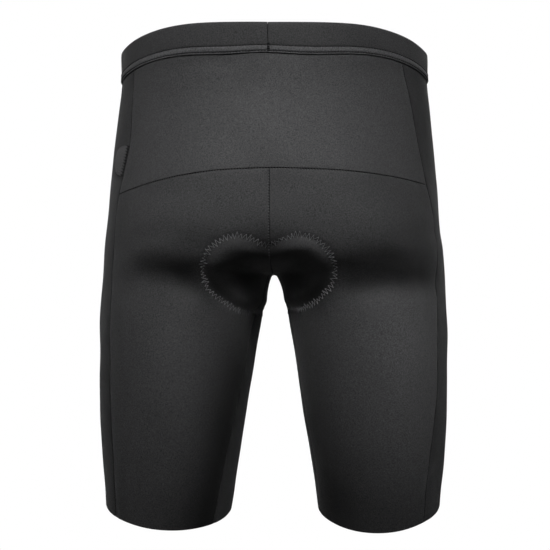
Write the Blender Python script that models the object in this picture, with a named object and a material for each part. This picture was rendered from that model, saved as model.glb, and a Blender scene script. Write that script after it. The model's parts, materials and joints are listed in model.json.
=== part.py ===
"""Triathlon shorts as worn, with no wearer: a stretch waistband, a back yoke, two seat-and-leg backs,
two fronts, two side panels, two inner leg panels, a seat pad inside the crotch and a side tab.

Metres, +Z up. The wearer faces +Y, so the back of the shorts looks along -Y and +X is the wearer's
right. The origin is in the middle of the waist opening, level with the waistband at the sides.
"""

import math

import bmesh
import bpy
import numpy as np
from mathutils.bvhtree import BVHTree

# Cloth
WALL = 0.0012            # thickness of the stretch cloth
BAND_WALL = 0.0022       # folded waistband with its elastic
SEAM_GAP = 0.0003        # between the cut edges of two pieces
LAY_GAP = 0.0003         # between a piece and what it lies on

# Waistband: height, and what it and its covered lower seam stand proud by, at heights up the band
BAND_HEIGHT = 0.0270
BAND_SKEW = 0.0015       # wider on the left and narrower on the right by this, as worn
BAND_LEAN = 0.0008       # higher on the left and lower on the right by this
BAND_PROUD = 0.0006      # the band stands proud of the panels below it
BAND_SEAM_X = -0.0020    # its seam is this far from the middle
BAND_LEVELS = (
    dict(up=0.0270, lift=-0.0005),
    dict(up=0.0258, lift=0.0002),
    dict(up=0.0175, lift=0.0004),
    dict(up=0.0068, lift=0.0002),
    dict(up=0.0058, lift=0.0008),
    dict(up=0.0012, lift=0.0008),
    dict(up=0.0000, lift=0.0000),
)

# Height of the waistband's top edge, by turn from the side: 90 is the back and -90 the front
BAND_TOP = (
    dict(turn=90.0, z=0.0224),
    dict(turn=75.0, z=0.0232),
    dict(turn=60.0, z=0.0232),
    dict(turn=45.0, z=0.0202),
    dict(turn=30.0, z=0.0153),
    dict(turn=15.0, z=0.0108),
    dict(turn=0.0, z=0.0095),
    dict(turn=-30.0, z=0.0060),
    dict(turn=-60.0, z=0.0000),
    dict(turn=-90.0, z=-0.0030),
)

# How much lower than that the band's lower edge dips behind, at distances to the right of the middle
BAND_DIPS = (
    dict(x=-0.150, dip=0.0000),
    dict(x=-0.105, dip=-0.0003),
    dict(x=-0.075, dip=0.0004),
    dict(x=-0.035, dip=0.0014),
    dict(x=-0.006, dip=0.0001),
    dict(x=0.030, dip=0.0024),
    dict(x=0.064, dip=0.0016),
    dict(x=0.095, dip=-0.0001),
    dict(x=0.150, dip=0.0000),
)
BAND_DIP_BACK = 0.030    # it dips fully this far behind the middle

# Yoke seam, straight across the back
YOKE_BACK_Z = -0.1060    # at the centre back
YOKE_DROP = 0.0149       # lower by this at the side seams
YOKE_POWER = 2.2
YOKE_HALF = 0.137        # distance out at which it is that much lower
YOKE_SKEW = 0.0045       # lower on the left and higher on the right by this, as worn

# Hems
HEM_Z = -0.4115          # at the outer side of the leg
HEM_BACK = dict(left=0.0120, right=0.0150)     # lower by this at the back
HEM_FRONT = 0.0080       # higher by this at the front
HEM_INSIDE = dict(left=0.0100, right=0.0060)   # lower by this at the inner side
HEM_POWER = 1.4

# Crotch: length of the edge along which the two inner leg panels meet
CROTCH_EDGE = 0.056

# Seat pad
PAD_THICK = 0.0060       # in the middle
PAD_THIN = 0.0015        # at its stitched edge
PAD_BEVEL = 0.35         # share of its reach over which it thins
PAD_REACH = 0.97         # its outermost ring, just inside the zigzag seam
PAD_STEP = 0.0002        # it sinks by this at a time, until it is clear of the cloth
PAD_ROUNDS = 40
PAD_LIFT = 0.0042        # how far the pad pushes the cloth out
PAD_RAMP = 0.0110        # width over which the cloth rises to that
PAD_NARROW = 0.965       # its width, as a share of the outline's below
PAD_ASIDE = -0.0013      # it sits this far to the left, as worn

# Side tab on the left side seam
TAB_MIDDLE_Z = -0.0953
TAB_HEIGHT = 0.0270
TAB_WIDTH = 0.0240
TAB_WALL = 0.0009
TAB_ROOT = 0.18          # share of its width at the two ends of its sewn edge
TAB_ROUND = 2.3          # squareness of its free edge
TAB_INSET = 0.0006       # it starts this far forward of the seam

# Sections of the right half, from the waist to below the hem. outer and inner are how far out from
# the middle the half reaches; a negative inner crosses the middle, where the halves merge. back and
# front are the depths, power is the squareness, and web fills the valley between the two halves.
SECTIONS = (
    dict(z=0.050, outer=0.1418, inner=-0.1425, back=0.1020, front=0.0990, power=2.20, web=0.0010),
    dict(z=0.000, outer=0.1436, inner=-0.1430, back=0.1040, front=0.1020, power=2.20, web=0.0020),
    dict(z=-0.040, outer=0.1465, inner=-0.1330, back=0.1075, front=0.1045, power=2.20, web=0.0080),
    dict(z=-0.080, outer=0.1498, inner=-0.1130, back=0.1140, front=0.1060, power=2.20, web=0.0140),
    dict(z=-0.120, outer=0.1534, inner=-0.0830, back=0.1205, front=0.1060, power=2.20, web=0.0180),
    dict(z=-0.155, outer=0.1566, inner=-0.0450, back=0.1220, front=0.1045, power=2.18, web=0.0430),
    dict(z=-0.180, outer=0.1593, inner=-0.0165, back=0.1178, front=0.1025, power=2.15, web=0.0480),
    dict(z=-0.193, outer=0.1604, inner=0.0052, back=0.1125, front=0.1012, power=2.12, web=0.0245),
    dict(z=-0.199, outer=0.1608, inner=0.0080, back=0.1098, front=0.1008, power=2.12, web=0.0225),
    dict(z=-0.208, outer=0.1615, inner=0.0096, back=0.1066, front=0.1002, power=2.10, web=0.0190),
    dict(z=-0.224, outer=0.1626, inner=0.0112, back=0.1046, front=0.0990, power=2.10, web=0.0120),
    dict(z=-0.250, outer=0.1637, inner=0.0147, back=0.1028, front=0.0970, power=2.08, web=0.0070),
    dict(z=-0.300, outer=0.1630, inner=0.0218, back=0.0962, front=0.0920, power=2.06, web=0.0040),
    dict(z=-0.350, outer=0.1619, inner=0.0305, back=0.0852, front=0.0840, power=2.05, web=0.0040),
    dict(z=-0.400, outer=0.1590, inner=0.0385, back=0.0742, front=0.0750, power=2.05, web=0.0040),
    dict(z=-0.440, outer=0.1560, inner=0.0445, back=0.0655, front=0.0690, power=2.05, web=0.0040),
)

# The left leg is a little wider than the right, as worn: by this share, below this height
LEG_UNEVEN = 0.014
LEG_TOP_Z = -0.190
LEG_BLEND = 0.050

# Seams, as turns in degrees about the centre of each half: 0 is the outer side, 90 the back, 180 the
# inner side, and a negative turn is on the front. The two sides differ a little, as worn.
SIDE_SEAMS = (
    dict(z=0.020, back_left=29.0, back_right=40.0, front_left=-31.0, front_right=-31.0),
    dict(z=-0.030, back_left=31.5, back_right=35.3, front_left=-33.0, front_right=-33.0),
    dict(z=-0.080, back_left=34.6, back_right=31.8, front_left=-34.0, front_right=-34.0),
    dict(z=-0.130, back_left=32.8, back_right=26.4, front_left=-34.0, front_right=-34.0),
    dict(z=-0.170, back_left=36.2, back_right=23.4, front_left=-34.0, front_right=-34.0),
    dict(z=-0.210, back_left=40.0, back_right=30.6, front_left=-35.0, front_right=-35.0),
    dict(z=-0.260, back_left=42.2, back_right=36.0, front_left=-36.0, front_right=-36.0),
    dict(z=-0.310, back_left=41.4, back_right=37.6, front_left=-37.0, front_right=-37.0),
    dict(z=-0.360, back_left=43.0, back_right=43.8, front_left=-38.0, front_right=-38.0),
    dict(z=-0.440, back_left=42.6, back_right=50.5, front_left=-40.0, front_right=-40.0),
)
INNER_SEAMS = (
    dict(z=-0.240, back_left=158.8, back_right=166.0, front_left=205.0, front_right=205.0),
    dict(z=-0.300, back_left=154.2, back_right=165.0, front_left=206.0, front_right=206.0),
    dict(z=-0.360, back_left=148.8, back_right=164.0, front_left=208.0, front_right=208.0),
    dict(z=-0.440, back_left=140.0, back_right=163.0, front_left=210.0, front_right=210.0),
)

# Soft troughs where the seat turns under into the legs: ends of each as x and z, how wide it is above
# and below its line, and its depth.
TROUGHS = (
    dict(x0=-0.112, z0=-0.1950, x1=-0.076, z1=-0.2035, above=0.0150, below=0.0135, depth=0.0054),
    dict(x0=-0.072, z0=-0.2060, x1=-0.057, z1=-0.2180, above=0.0130, below=0.0090, depth=0.0022),
    dict(x0=0.072, z0=-0.2055, x1=0.134, z1=-0.2025, above=0.0225, below=0.0140, depth=0.0070),
)
TROUGH_FADE = 0.018      # length over which a trough's end dies away
TROUGH_BACK = 0.030      # troughs are at full depth this far behind the middle

# Outline of the pad, about the lowest point of the crotch: turn 0 is straight back, 90 to the side.
PAD_OUTLINE = (
    dict(turn=0.0, reach=0.1178),
    dict(turn=6.0, reach=0.1248),
    dict(turn=12.0, reach=0.1310),
    dict(turn=20.0, reach=0.1312),
    dict(turn=30.0, reach=0.1222),
    dict(turn=38.0, reach=0.1038),
    dict(turn=46.0, reach=0.0812),
    dict(turn=54.0, reach=0.0627),
    dict(turn=65.0, reach=0.052),
    dict(turn=80.0, reach=0.0455),
    dict(turn=100.0, reach=0.045),
    dict(turn=120.0, reach=0.050),
    dict(turn=150.0, reach=0.072),
    dict(turn=180.0, reach=0.082),
)

# Share of the lift along the outline, less where the pad passes between the legs
PAD_LIFTS = (
    dict(turn=0.0, left=1.0, right=1.0),
    dict(turn=40.0, left=1.0, right=1.0),
    dict(turn=60.0, left=0.85, right=0.70),
    dict(turn=80.0, left=0.70, right=0.40),
    dict(turn=105.0, left=0.70, right=0.40),
    dict(turn=130.0, left=0.85, right=0.70),
    dict(turn=150.0, left=1.0, right=1.0),
    dict(turn=180.0, left=1.0, right=1.0),
)
PAD_LIFT_INSIDE = (0.014, 0.036)   # from here to here inside the outline, the share grows to 1

# Mesh density
SIDE_ROWS_YOKE = 6
SEAT_ROWS_UPPER = 11
SEAT_ROWS_LEG = 13
LEG_CROWD = 1.3          # rows are closer together at the top of the leg
LINE_POINTS = 200        # points on a seam line before it is divided into rows
INNER_CROWD = 1.5        # they are closer together at the top of an inner leg seam
INNER_SETTLE = 12.0      # how fast an inner leg seam leaves the middle plane
INNER_START = 0.001      # its curve starts this far below the crotch
HALF_COLUMNS = 12
SIDE_COLUMNS = 6
INNER_COLUMNS = 6
PAD_SPOKES = 32
PAD_RINGS = 8
TAB_ROWS = 8
TAB_COLUMNS = 4

STEP = 0.00002           # for slopes of the figure
WALK = 0.002             # step of a walk over the cloth
COARSE_WALK = 0.003      # step of a walk from the middle line out over the pad
MIDDLE_LENGTH = 0.62     # longer than the middle line from waist to waist
OUTLINE_POINTS = 180     # points round the pad's outline
INSIDE_SHARE = 0.9       # share of the outline's reach that is surely inside it
SHARP_ANGLE = 40         # degrees between two facets over which their edge shows
CLOTH_ROUGH = 0.7

COLOURS = dict(
    cloth=(0.036, 0.036, 0.037, 1.0),
    side_cloth=(0.028, 0.028, 0.029, 1.0),
    band=(0.034, 0.034, 0.035, 1.0),
    pad=(0.012, 0.012, 0.013, 1.0),
    tab=(0.045, 0.045, 0.046, 1.0),
)


class Smooth:
    """A natural cubic spline through the rows of a table."""

    def __init__(self, at, value):
        order = np.argsort(at)
        self.at = np.asarray(at, float)[order]
        self.value = np.asarray(value, float)[order]
        gap = np.diff(self.at)
        size = len(self.at)
        matrix = np.eye(size)
        right = np.zeros(size)
        for i in range(1, size - 1):
            matrix[i, i - 1:i + 2] = gap[i - 1], 2 * (gap[i - 1] + gap[i]), gap[i]
            rise = np.diff(self.value[i - 1:i + 2]) / gap[i - 1:i + 1]
            right[i] = 6 * (rise[1] - rise[0])
        self.bend = np.linalg.solve(matrix, right)

    def __call__(self, x):
        x = np.clip(x, self.at[0], self.at[-1])
        i = np.clip(np.searchsorted(self.at, x) - 1, 0, len(self.at) - 2)
        gap = self.at[i + 1] - self.at[i]
        a = (self.at[i + 1] - x) / gap
        b = 1 - a
        bends = (a**3 - a) * self.bend[i] + (b**3 - b) * self.bend[i + 1]
        return a * self.value[i] + b * self.value[i + 1] + bends * gap**2 / 6


def columns(table, key):
    """Each column of a table as a smooth curve over its key column."""
    return {name: Smooth([row[key] for row in table], [row[name] for row in table])
            for name in table[0] if name != key}


SECTION = columns(SECTIONS, "z")
SIDE_SEAM = columns(SIDE_SEAMS, "z")
BAND_TOP_AT = columns(BAND_TOP, "turn")["z"]
BAND_DIP_AT = columns(BAND_DIPS, "x")["dip"]


def ease(x):
    x = np.clip(x, 0.0, 1.0)
    return x * x * (3 - 2 * x)


def section(z):
    """Centre, half width, back and front depth, power and web of the right half at a height."""
    outer, inner = SECTION["outer"](z), SECTION["inner"](z)
    return ((outer + inner) / 2, (outer - inner) / 2, SECTION["back"](z), SECTION["front"](z),
            SECTION["power"](z), SECTION["web"](z))


def figure(points):
    """How far points lie outside the cloth, before folds: two halves, merged where they meet."""
    x, y, z = np.asarray(points, float).T
    centre, half, back, front, power, web = section(z)
    depth = np.where(y < 0, back, front)
    across = np.abs(y / depth)**power
    uneven = LEG_UNEVEN * ease((LEG_TOP_Z - z) / LEG_BLEND)
    wide, narrow = half * (1 + uneven), half * (1 - uneven)
    right = ((np.abs((x - centre) / narrow)**power + across)**(1 / power) - 1) * narrow
    left = ((np.abs((x + centre) / wide)**power + across)**(1 / power) - 1) * wide
    share = np.maximum(web - np.abs(right - left), 0) / web
    return np.minimum(right, left) - share**2 * web / 4


def slope(points):
    """Gradient of the figure."""
    found = np.zeros_like(points)
    for axis in range(3):
        move = np.zeros(3)
        move[axis] = STEP
        found[:, axis] = (figure(points + move) - figure(points - move)) / (2 * STEP)
    return found


def settle(points, rounds=8):
    """Moves points onto the figure, straight across the cloth."""
    points = np.array(points, float).reshape(-1, 3)
    for _ in range(rounds):
        steep = slope(points)
        points -= steep * (figure(points) / (steep**2).sum(1))[:, None]
    return points


def outward(points):
    steep = slope(points)
    return steep / np.linalg.norm(steep, axis=1)[:, None]


def signed_power(value, power):
    return np.sign(value) * np.abs(value)**power


def to_turn(points, side):
    """Turn in degrees, height and reach of points, about the centre of their half."""
    x, y, z = np.asarray(points, float).reshape(-1, 3).T
    centre, half, back, front, power, _ = section(z)
    out = (side * x - centre) / half
    behind = -y / np.where(y < 0, back, front)
    reach = (np.abs(out)**power + np.abs(behind)**power)**(1 / power)
    turn = np.degrees(np.arctan2(signed_power(behind, power / 2), signed_power(out, power / 2)))
    return np.stack([turn, z, reach], axis=1)


def from_turn(turns, side):
    """The points that to_turn describes."""
    turn, z, reach = np.asarray(turns, float).reshape(-1, 3).T
    centre, half, back, front, power, _ = section(z)
    angle = np.radians(turn)
    out = signed_power(np.cos(angle), 2 / power) * reach
    behind = signed_power(np.sin(angle), 2 / power) * reach
    depth = np.where(behind > 0, back, front)
    return np.stack([side * (centre + half * out), -behind * depth, z], axis=1)


def place(turn, z, side):
    """Points of the figure at turns and heights."""
    turn, z = np.broadcast_arrays(np.asarray(turn, float), np.asarray(z, float))
    turns = np.stack([turn.ravel(), z.ravel(), np.ones(turn.size)], axis=1)
    return settle(from_turn(turns, side))


def walk(start, heading, length, step=WALK):
    """The points met when walking straight over the figure from each start, and the last ones."""
    here = settle(start)
    heading = np.array(heading, float).reshape(-1, 3) + np.zeros_like(here)
    count = max(2, int(math.ceil(np.max(length) / step)))
    stride = (np.zeros(len(here)) + length)[:, None] / count
    track = [here]
    for _ in range(count):
        up = outward(here)
        heading = heading - up * (heading * up).sum(1)[:, None]
        heading /= np.linalg.norm(heading, axis=1)[:, None]
        here = settle(here + heading * stride, 4)
        track.append(here)
    return np.array(track)


def along(path, count, crowd=1.0):
    """Points spaced evenly along a path, or crowded towards its start where crowd is over 1."""
    path = np.asarray(path, float)
    length = np.concatenate([[0], np.cumsum(np.linalg.norm(np.diff(path, axis=0), axis=1))])
    want = np.linspace(0, 1, count)**crowd * length[-1]
    return np.stack([np.interp(want, length, path[:, k]) for k in range(3)], axis=1)


def waist_level(points, share):
    """Height of the waistband at points round it, from 0 at its lower seam to 1 at its top edge."""
    sides = np.stack([np.abs(points[:, 0]), points[:, 1], points[:, 2]], axis=1)
    turn = to_turn(sides, 1)[:, 0]
    turn = np.clip(np.where(turn > 180, turn - 360, turn), -90, 90)
    out = points[:, 0] / SECTIONS[1]["outer"]
    dip = BAND_DIP_AT(points[:, 0]) * ease(-points[:, 1] / BAND_DIP_BACK)
    height = BAND_HEIGHT - BAND_SKEW * out + dip
    return BAND_TOP_AT(turn) - BAND_LEAN * out - height * (1 - share)


def waist_seam(turn, side, share=0.0):
    """Points on the seam under the waistband, or higher up on the band."""
    points = place(turn, 0.0, side)
    for _ in range(3):
        points = place(turn, waist_level(points, share), side)
    return points


def hem(turn, side):
    """Points on the hem of a leg."""
    angle = np.radians(np.asarray(turn, float))
    behind, inside = np.sin(angle), np.cos(angle)
    hand = "right" if side > 0 else "left"
    drop = np.where(behind > 0, HEM_BACK[hand], -HEM_FRONT) * np.abs(behind)**HEM_POWER
    drop = drop + HEM_INSIDE[hand] * (1 - inside) / 2
    return place(turn, HEM_Z - drop, side)


def yoke_height(x):
    out = x / YOKE_HALF
    return YOKE_BACK_Z - YOKE_DROP * np.abs(out)**YOKE_POWER + YOKE_SKEW * out * np.abs(out)


def on_yoke_seam(turn, side):
    points = place(turn, YOKE_BACK_Z, side)
    for _ in range(4):
        points = place(turn, yoke_height(points[:, 0]), side)
    return points


def middle_turn(z):
    """Turn at which the right half meets the middle plane behind."""
    centre, half, _, _, power, _ = section(z)
    share = np.clip(centre / half, 0, 1)
    return np.degrees(np.arccos(-share**(power / 2)))


def middle_line():
    """The seam in the middle plane, from the waist at the back, under the crotch, to the front."""
    start = waist_seam(np.array([90.0]), 1)
    start[:, 0] = 0
    start = settle(start)
    track = walk(start, [0, -0.1, -1], MIDDLE_LENGTH)[:, 0]
    track[:, 0] = 0
    front = waist_seam(np.array([-90.0]), 1)[0]
    past = np.where((track[:, 1] > 0) & (track[:, 2] > front[2]))[0]
    return track[:past[0] + 1]


class Seams:
    """Every seam line as points on the figure, worked out once."""

    def __init__(self):
        line = middle_line()
        low = int(np.argmin(line[:, 2]))
        edge = int(round(CROTCH_EDGE / 2 / WALK))
        self.low = line[low]
        self.crotch = line[low - edge:low + edge + 1]
        yoke = int(np.argmin(np.abs(line[:, 2] - YOKE_BACK_Z) + (line[:, 1] > 0)))
        self.yoke_middle = settle(line[yoke])[0]
        self.back = line[yoke:low - edge + 1]
        self.front = line[low + edge:]
        self.side = {(name, side): self.side_line(name, side)
                     for name in ("back", "front") for side in (1, -1)}
        self.inner = {(name, side): self.inner_line(name, side)
                      for name in ("back", "front") for side in (1, -1)}

    def side_line(self, name, side):
        """Points down a side seam, shared by the panels on both sides of it."""
        curve = SIDE_SEAM[f"{name}_{'right' if side > 0 else 'left'}"]
        top = waist_seam(curve(-BAND_HEIGHT / 2), side)[0]
        end = hem(curve(HEM_Z), side)[0]
        z = np.linspace(top[2], end[2], LINE_POINTS)
        line = place(curve(z), z, side)
        line[0], line[-1] = top, end
        corner = int(np.argmin(np.abs(line[:, 2] - yoke_height(line[:, 0]))))
        thigh = int(np.argmin(np.abs(line[:, 2] - self.crotch[0][2])))
        parts = (
            along(line[:corner + 1], SIDE_ROWS_YOKE + 1),
            along(line[corner:thigh + 1], SEAT_ROWS_UPPER + 1)[1:],
            along(line[thigh:], SEAT_ROWS_LEG + 1, LEG_CROWD)[1:],
        )
        return np.concatenate(parts)

    def inner_line(self, name, side):
        """Points down an inner leg seam from the end of the crotch edge."""
        hand = "right" if side > 0 else "left"
        start = self.crotch[0 if name == "back" else -1]
        first = to_turn(start, side)[0]
        turn = first[0] % 360
        rows = [dict(z=row["z"], turn=row[f"{name}_{hand}"]) for row in INNER_SEAMS]
        heights = [start[2] - INNER_START, *[row["z"] for row in rows]]
        curve = Smooth(heights, [turn, *[row["turn"] for row in rows]])
        end = hem(curve(HEM_Z), side)[0]
        share = np.linspace(0, 1, LINE_POINTS)
        z = start[2] + (end[2] - start[2]) * share**INNER_CROWD
        reach = 1 + (first[2] - 1) * np.exp(-INNER_SETTLE * share)
        line = settle(from_turn(np.stack([curve(z), z, reach], axis=1), side))
        line[0], line[-1] = start, end
        return along(line, SEAT_ROWS_LEG + 1, LEG_CROWD)


def patch(top, bottom, start, end, side, full_turn=False):
    """A grid of points on the figure between four edges, rows from top to bottom."""
    rows, cols = len(start), len(top)

    def turns(points):
        found = to_turn(points, side)
        if full_turn:
            found[:, 0] %= 360
        return found

    top, bottom, start, end = turns(top), turns(bottom), turns(start), turns(end)
    length = np.cumsum(np.concatenate([[0], np.linalg.norm(np.diff(start, axis=0), axis=1)]))
    down = (np.linspace(0, 1, rows) if length[-1] == 0 else length / length[-1])[:, None, None]
    over = np.linspace(0, 1, cols)[None, :, None]
    ruled = (1 - over) * start[:, None] + over * end[:, None]
    lofted = (1 - down) * top[None] + down * bottom[None]
    corners = ((1 - down) * ((1 - over) * top[0] + over * top[-1])
               + down * ((1 - over) * bottom[0] + over * bottom[-1]))
    grid = ruled + lofted - corners
    return settle(from_turn(grid.reshape(-1, 3), side)).reshape(rows, cols, 3)


def pull_in(grid, gap, edges="tbse"):
    """Moves the chosen edges of a grid back from the seam by a gap."""
    moved = grid.copy()
    for edge, rim, inside in (("t", np.s_[0], np.s_[1]), ("b", np.s_[-1], np.s_[-2]),
                              ("s", np.s_[:, 0], np.s_[:, 1]), ("e", np.s_[:, -1], np.s_[:, -2])):
        if edge not in edges:
            continue
        rail = moved[rim]
        tangent = np.gradient(rail, axis=0)
        tangent /= np.linalg.norm(tangent, axis=1)[:, None]
        inward = grid[inside] - grid[rim]
        inward -= tangent * (inward * tangent).sum(1)[:, None]
        inward /= np.linalg.norm(inward, axis=1)[:, None]
        moved[rim] = rail + inward * gap
    return moved


def trough_depth(points):
    """How far the cloth sinks in at points, in the soft troughs under the seat."""
    x, y, z = points.T
    sunk = np.zeros(len(points))
    for fold in TROUGHS:
        run = np.array([fold["x1"] - fold["x0"], fold["z1"] - fold["z0"]])
        length = np.hypot(*run)
        run /= length
        dx, dz = x - fold["x0"], z - fold["z0"]
        forward = dx * run[0] + dz * run[1]
        aside = dz * run[0] - dx * run[1]
        aside = aside / np.where(aside > 0, fold["above"], fold["below"])
        past = np.maximum(np.maximum(-forward, forward - length), 0) / TROUGH_FADE
        sunk += fold["depth"] * np.exp(-aside**2 - past**2)
    return sunk * ease(-y / TROUGH_BACK)


class Pad:
    """The pad's outline on the cloth, and its points."""

    def __init__(self, seams):
        line = middle_line()
        low = int(np.argmin(line[:, 2]))
        self.line = line
        self.low_arc = low * WALK
        turns = [row["turn"] for row in PAD_OUTLINE]
        reaches = [row["reach"] for row in PAD_OUTLINE]
        mirrored = [-t for t in turns[1:4]] + turns + [360 - t for t in turns[-4:-1][::-1]]
        values = reaches[1:4] + reaches + reaches[-4:-1][::-1]
        self.curve = Smooth(mirrored, values)
        self.outline, self.inward, self.share = self.edge()

    def reach(self, turn):
        """Distance of the outline from the lowest point of the crotch, over the cloth."""
        folded = np.abs((np.asarray(turn, float) + 180) % 360 - 180)
        return self.curve(folded)

    def at(self, back, side_way):
        """Points of the figure that far back along the middle line and then that far to the side."""
        back, side_way = np.broadcast_arrays(np.asarray(back, float), np.asarray(side_way, float))
        shape = back.shape
        arc = (self.low_arc - back.ravel()) / WALK
        start = np.stack([np.interp(arc, np.arange(len(self.line)), self.line[:, k])
                          for k in range(3)], axis=1)
        hand = np.where(side_way.ravel() < 0, -1.0, 1.0)[:, None]
        track = walk(start, np.array([1.0, 0, 0]) * hand, np.abs(side_way.ravel()), COARSE_WALK)
        return track[-1].reshape(*shape, 3)

    def polar(self, turn, share):
        """Points of the figure at turns about the lowest point, out to a share of the outline."""
        angle = np.radians(turn)
        reach = self.reach(turn) * share
        return self.at(reach * np.cos(angle), reach * np.sin(angle) * PAD_NARROW + PAD_ASIDE)

    def edge(self):
        """Points of the outline, the way in from each over the cloth, and their share of the lift."""
        turn = np.linspace(-180, 180, OUTLINE_POINTS, endpoint=False)
        outline = self.polar(turn, 1.0)
        ahead = np.roll(outline, -1, axis=0) - np.roll(outline, 1, axis=0)
        inward = np.cross(outward(outline), ahead)
        inward /= np.linalg.norm(inward, axis=1)[:, None]
        inward *= np.sign((inward * (self.polar(turn, INSIDE_SHARE) - outline)).sum(1))[:, None]
        left, right = (np.interp(np.abs(turn), [row["turn"] for row in PAD_LIFTS],
                                 [row[hand] for row in PAD_LIFTS]) for hand in ("left", "right"))
        return outline, inward, np.where(turn < 0, left, right)

    def lift(self, points):
        """How far the pad pushes the cloth out at points."""
        raised = np.zeros(len(points))
        start, full = PAD_LIFT_INSIDE
        for i, point in enumerate(points):
            away = point - self.outline
            near = int(np.argmin((away**2).sum(1)))
            inside = away[near] @ self.inward[near]
            share = self.share[near] + (1 - self.share[near]) * ease((inside - start) / (full - start))
            raised[i] = share * ease(inside / PAD_RAMP)
        return PAD_LIFT * raised


def dress(grid, pad, proud=0.0):
    """Lays a grid's points into the troughs and over the pad, and returns them with their normals."""
    flat = grid.reshape(-1, 3)
    normals = outward(flat)
    raised = pad.lift(flat) - trough_depth(flat) + proud
    dressed = flat + normals * raised[:, None]
    return dressed.reshape(grid.shape), normals.reshape(grid.shape)


def material(name):
    made = bpy.data.materials.new(name)
    made.use_nodes = True
    shader = made.node_tree.nodes["Principled BSDF"]
    shader.inputs["Base Color"].default_value = COLOURS[name]
    shader.inputs["Roughness"].default_value = CLOTH_ROUGH
    shader.inputs["Metallic"].default_value = 0.0
    return made


def as_object(name, mesh, finish):
    bmesh.ops.recalc_face_normals(mesh, faces=mesh.faces)
    data = bpy.data.meshes.new(name)
    mesh.to_mesh(data)
    mesh.free()
    data.shade_smooth()
    data.set_sharp_from_angle(angle=math.radians(SHARP_ANGLE))
    data.materials.append(finish)
    made = bpy.data.objects.new(name, data)
    bpy.context.scene.collection.objects.link(made)
    return made


def wall(name, outer, inner, finish, ring=False):
    """A closed solid between two grids of points. A ring's last column joins its first."""
    rows, cols = outer.shape[:2]
    mesh = bmesh.new()
    sheets = [[[mesh.verts.new(p) for p in row] for row in sheet] for sheet in (outer, inner)]
    last = cols if ring else cols - 1
    for r in range(rows - 1):
        for c in range(last):
            d = (c + 1) % cols
            for sheet, order in ((sheets[0], 1), (sheets[1], -1)):
                corners = [sheet[r][c], sheet[r + 1][c], sheet[r + 1][d], sheet[r][d]]
                mesh.faces.new(corners[::order])
    rims = [[(s[0][c], s[0][(c + 1) % cols]) for s in sheets] for c in range(last)]
    rims += [[(s[-1][(c + 1) % cols], s[-1][c]) for s in sheets] for c in range(last)]
    if not ring:
        rims += [[(s[r + 1][0], s[r][0]) for s in sheets] for r in range(rows - 1)]
        rims += [[(s[r][-1], s[r + 1][-1]) for s in sheets] for r in range(rows - 1)]
    for (a, b), (c, d) in rims:
        mesh.faces.new((a, b, d, c))
    return as_object(name, mesh, finish)


def cloth_piece(name, grid, pad, finish, edges="tbse"):
    """A panel of stretch cloth, its outer face on the dressed figure."""
    face, normals = dress(pull_in(grid, SEAM_GAP / 2, edges), pad)
    return wall(name, face, face - normals * WALL, finish)


def faces_of(objects):
    """One search tree over the triangles of several objects."""
    points, faces = [], []
    for thing in objects:
        first = len(points)
        thing.data.calc_loop_triangles()
        points += [v.co.copy() for v in thing.data.vertices]
        faces += [[first + v for v in f.vertices] for f in thing.data.loop_triangles]
    return BVHTree.FromPolygons(points, faces)


def waist_turns(seams, side, piece=None):
    """Turns of the points that one piece, or each piece of one half, has on the seam under the band."""
    back, front = (to_turn(seams.side[name, side][0], side)[0, 0] for name in ("back", "front"))
    turns = dict(yoke=np.linspace(90.0, back, HALF_COLUMNS + 1),
                 side=np.linspace(back, front, SIDE_COLUMNS + 1),
                 front=np.linspace(front, -90.0, HALF_COLUMNS + 1))
    if piece:
        return turns[piece]
    return np.concatenate([turns["yoke"], turns["side"][1:], turns["front"][1:]])


def yoke_half(seams, side):
    side_line = seams.side["back", side][:SIDE_ROWS_YOKE + 1]
    turns_top = waist_turns(seams, side, "yoke")
    low_turn = middle_turn(seams.yoke_middle[2])
    turns_low = np.linspace(low_turn, to_turn(side_line[-1], side)[0, 0], HALF_COLUMNS + 1)
    top = waist_seam(turns_top, side)
    low = on_yoke_seam(turns_low, side)
    top[-1], low[-1] = side_line[0], side_line[-1]
    top[0, 0] = low[0, 0] = 0
    top, low = settle(top), settle(low)
    z = np.linspace(top[0, 2], low[0, 2], SIDE_ROWS_YOKE + 1)
    middle = place(middle_turn(z), z, side)
    middle[:, 0] = 0
    middle = settle(middle)
    middle[0], middle[-1] = top[0], low[0]
    return patch(top, low, middle, side_line, side), low


def make_yoke(seams, pad, finish):
    right, low_right = yoke_half(seams, 1)
    left, low_left = yoke_half(seams, -1)
    grid = np.concatenate([left[:, ::-1], right[:, 1:]], axis=1)
    made = cloth_piece("yoke_back", grid, pad, finish)
    return made, {1: low_right, -1: low_left}


def make_seat(seams, pad, yoke_low, side, finish):
    """The back of one leg with its half of the seat, from the yoke seam to the hem."""
    hand = "right" if side > 0 else "left"
    outer = seams.side["back", side][SIDE_ROWS_YOKE:]
    upper = along(seams.back, SEAT_ROWS_UPPER + 1)
    upper[0] = yoke_low[side][0]
    inner = np.concatenate([upper, seams.inner["back", side][1:]])
    turns = np.linspace(to_turn(inner[-1], side)[0, 0], to_turn(outer[-1], side)[0, 0], HALF_COLUMNS + 1)
    low = hem(turns, side)
    low[0], low[-1] = inner[-1], outer[-1]
    grid = patch(yoke_low[side], low, inner, outer, side)
    return cloth_piece(f"seat_{hand}", grid, pad, finish, "tse")


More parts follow.
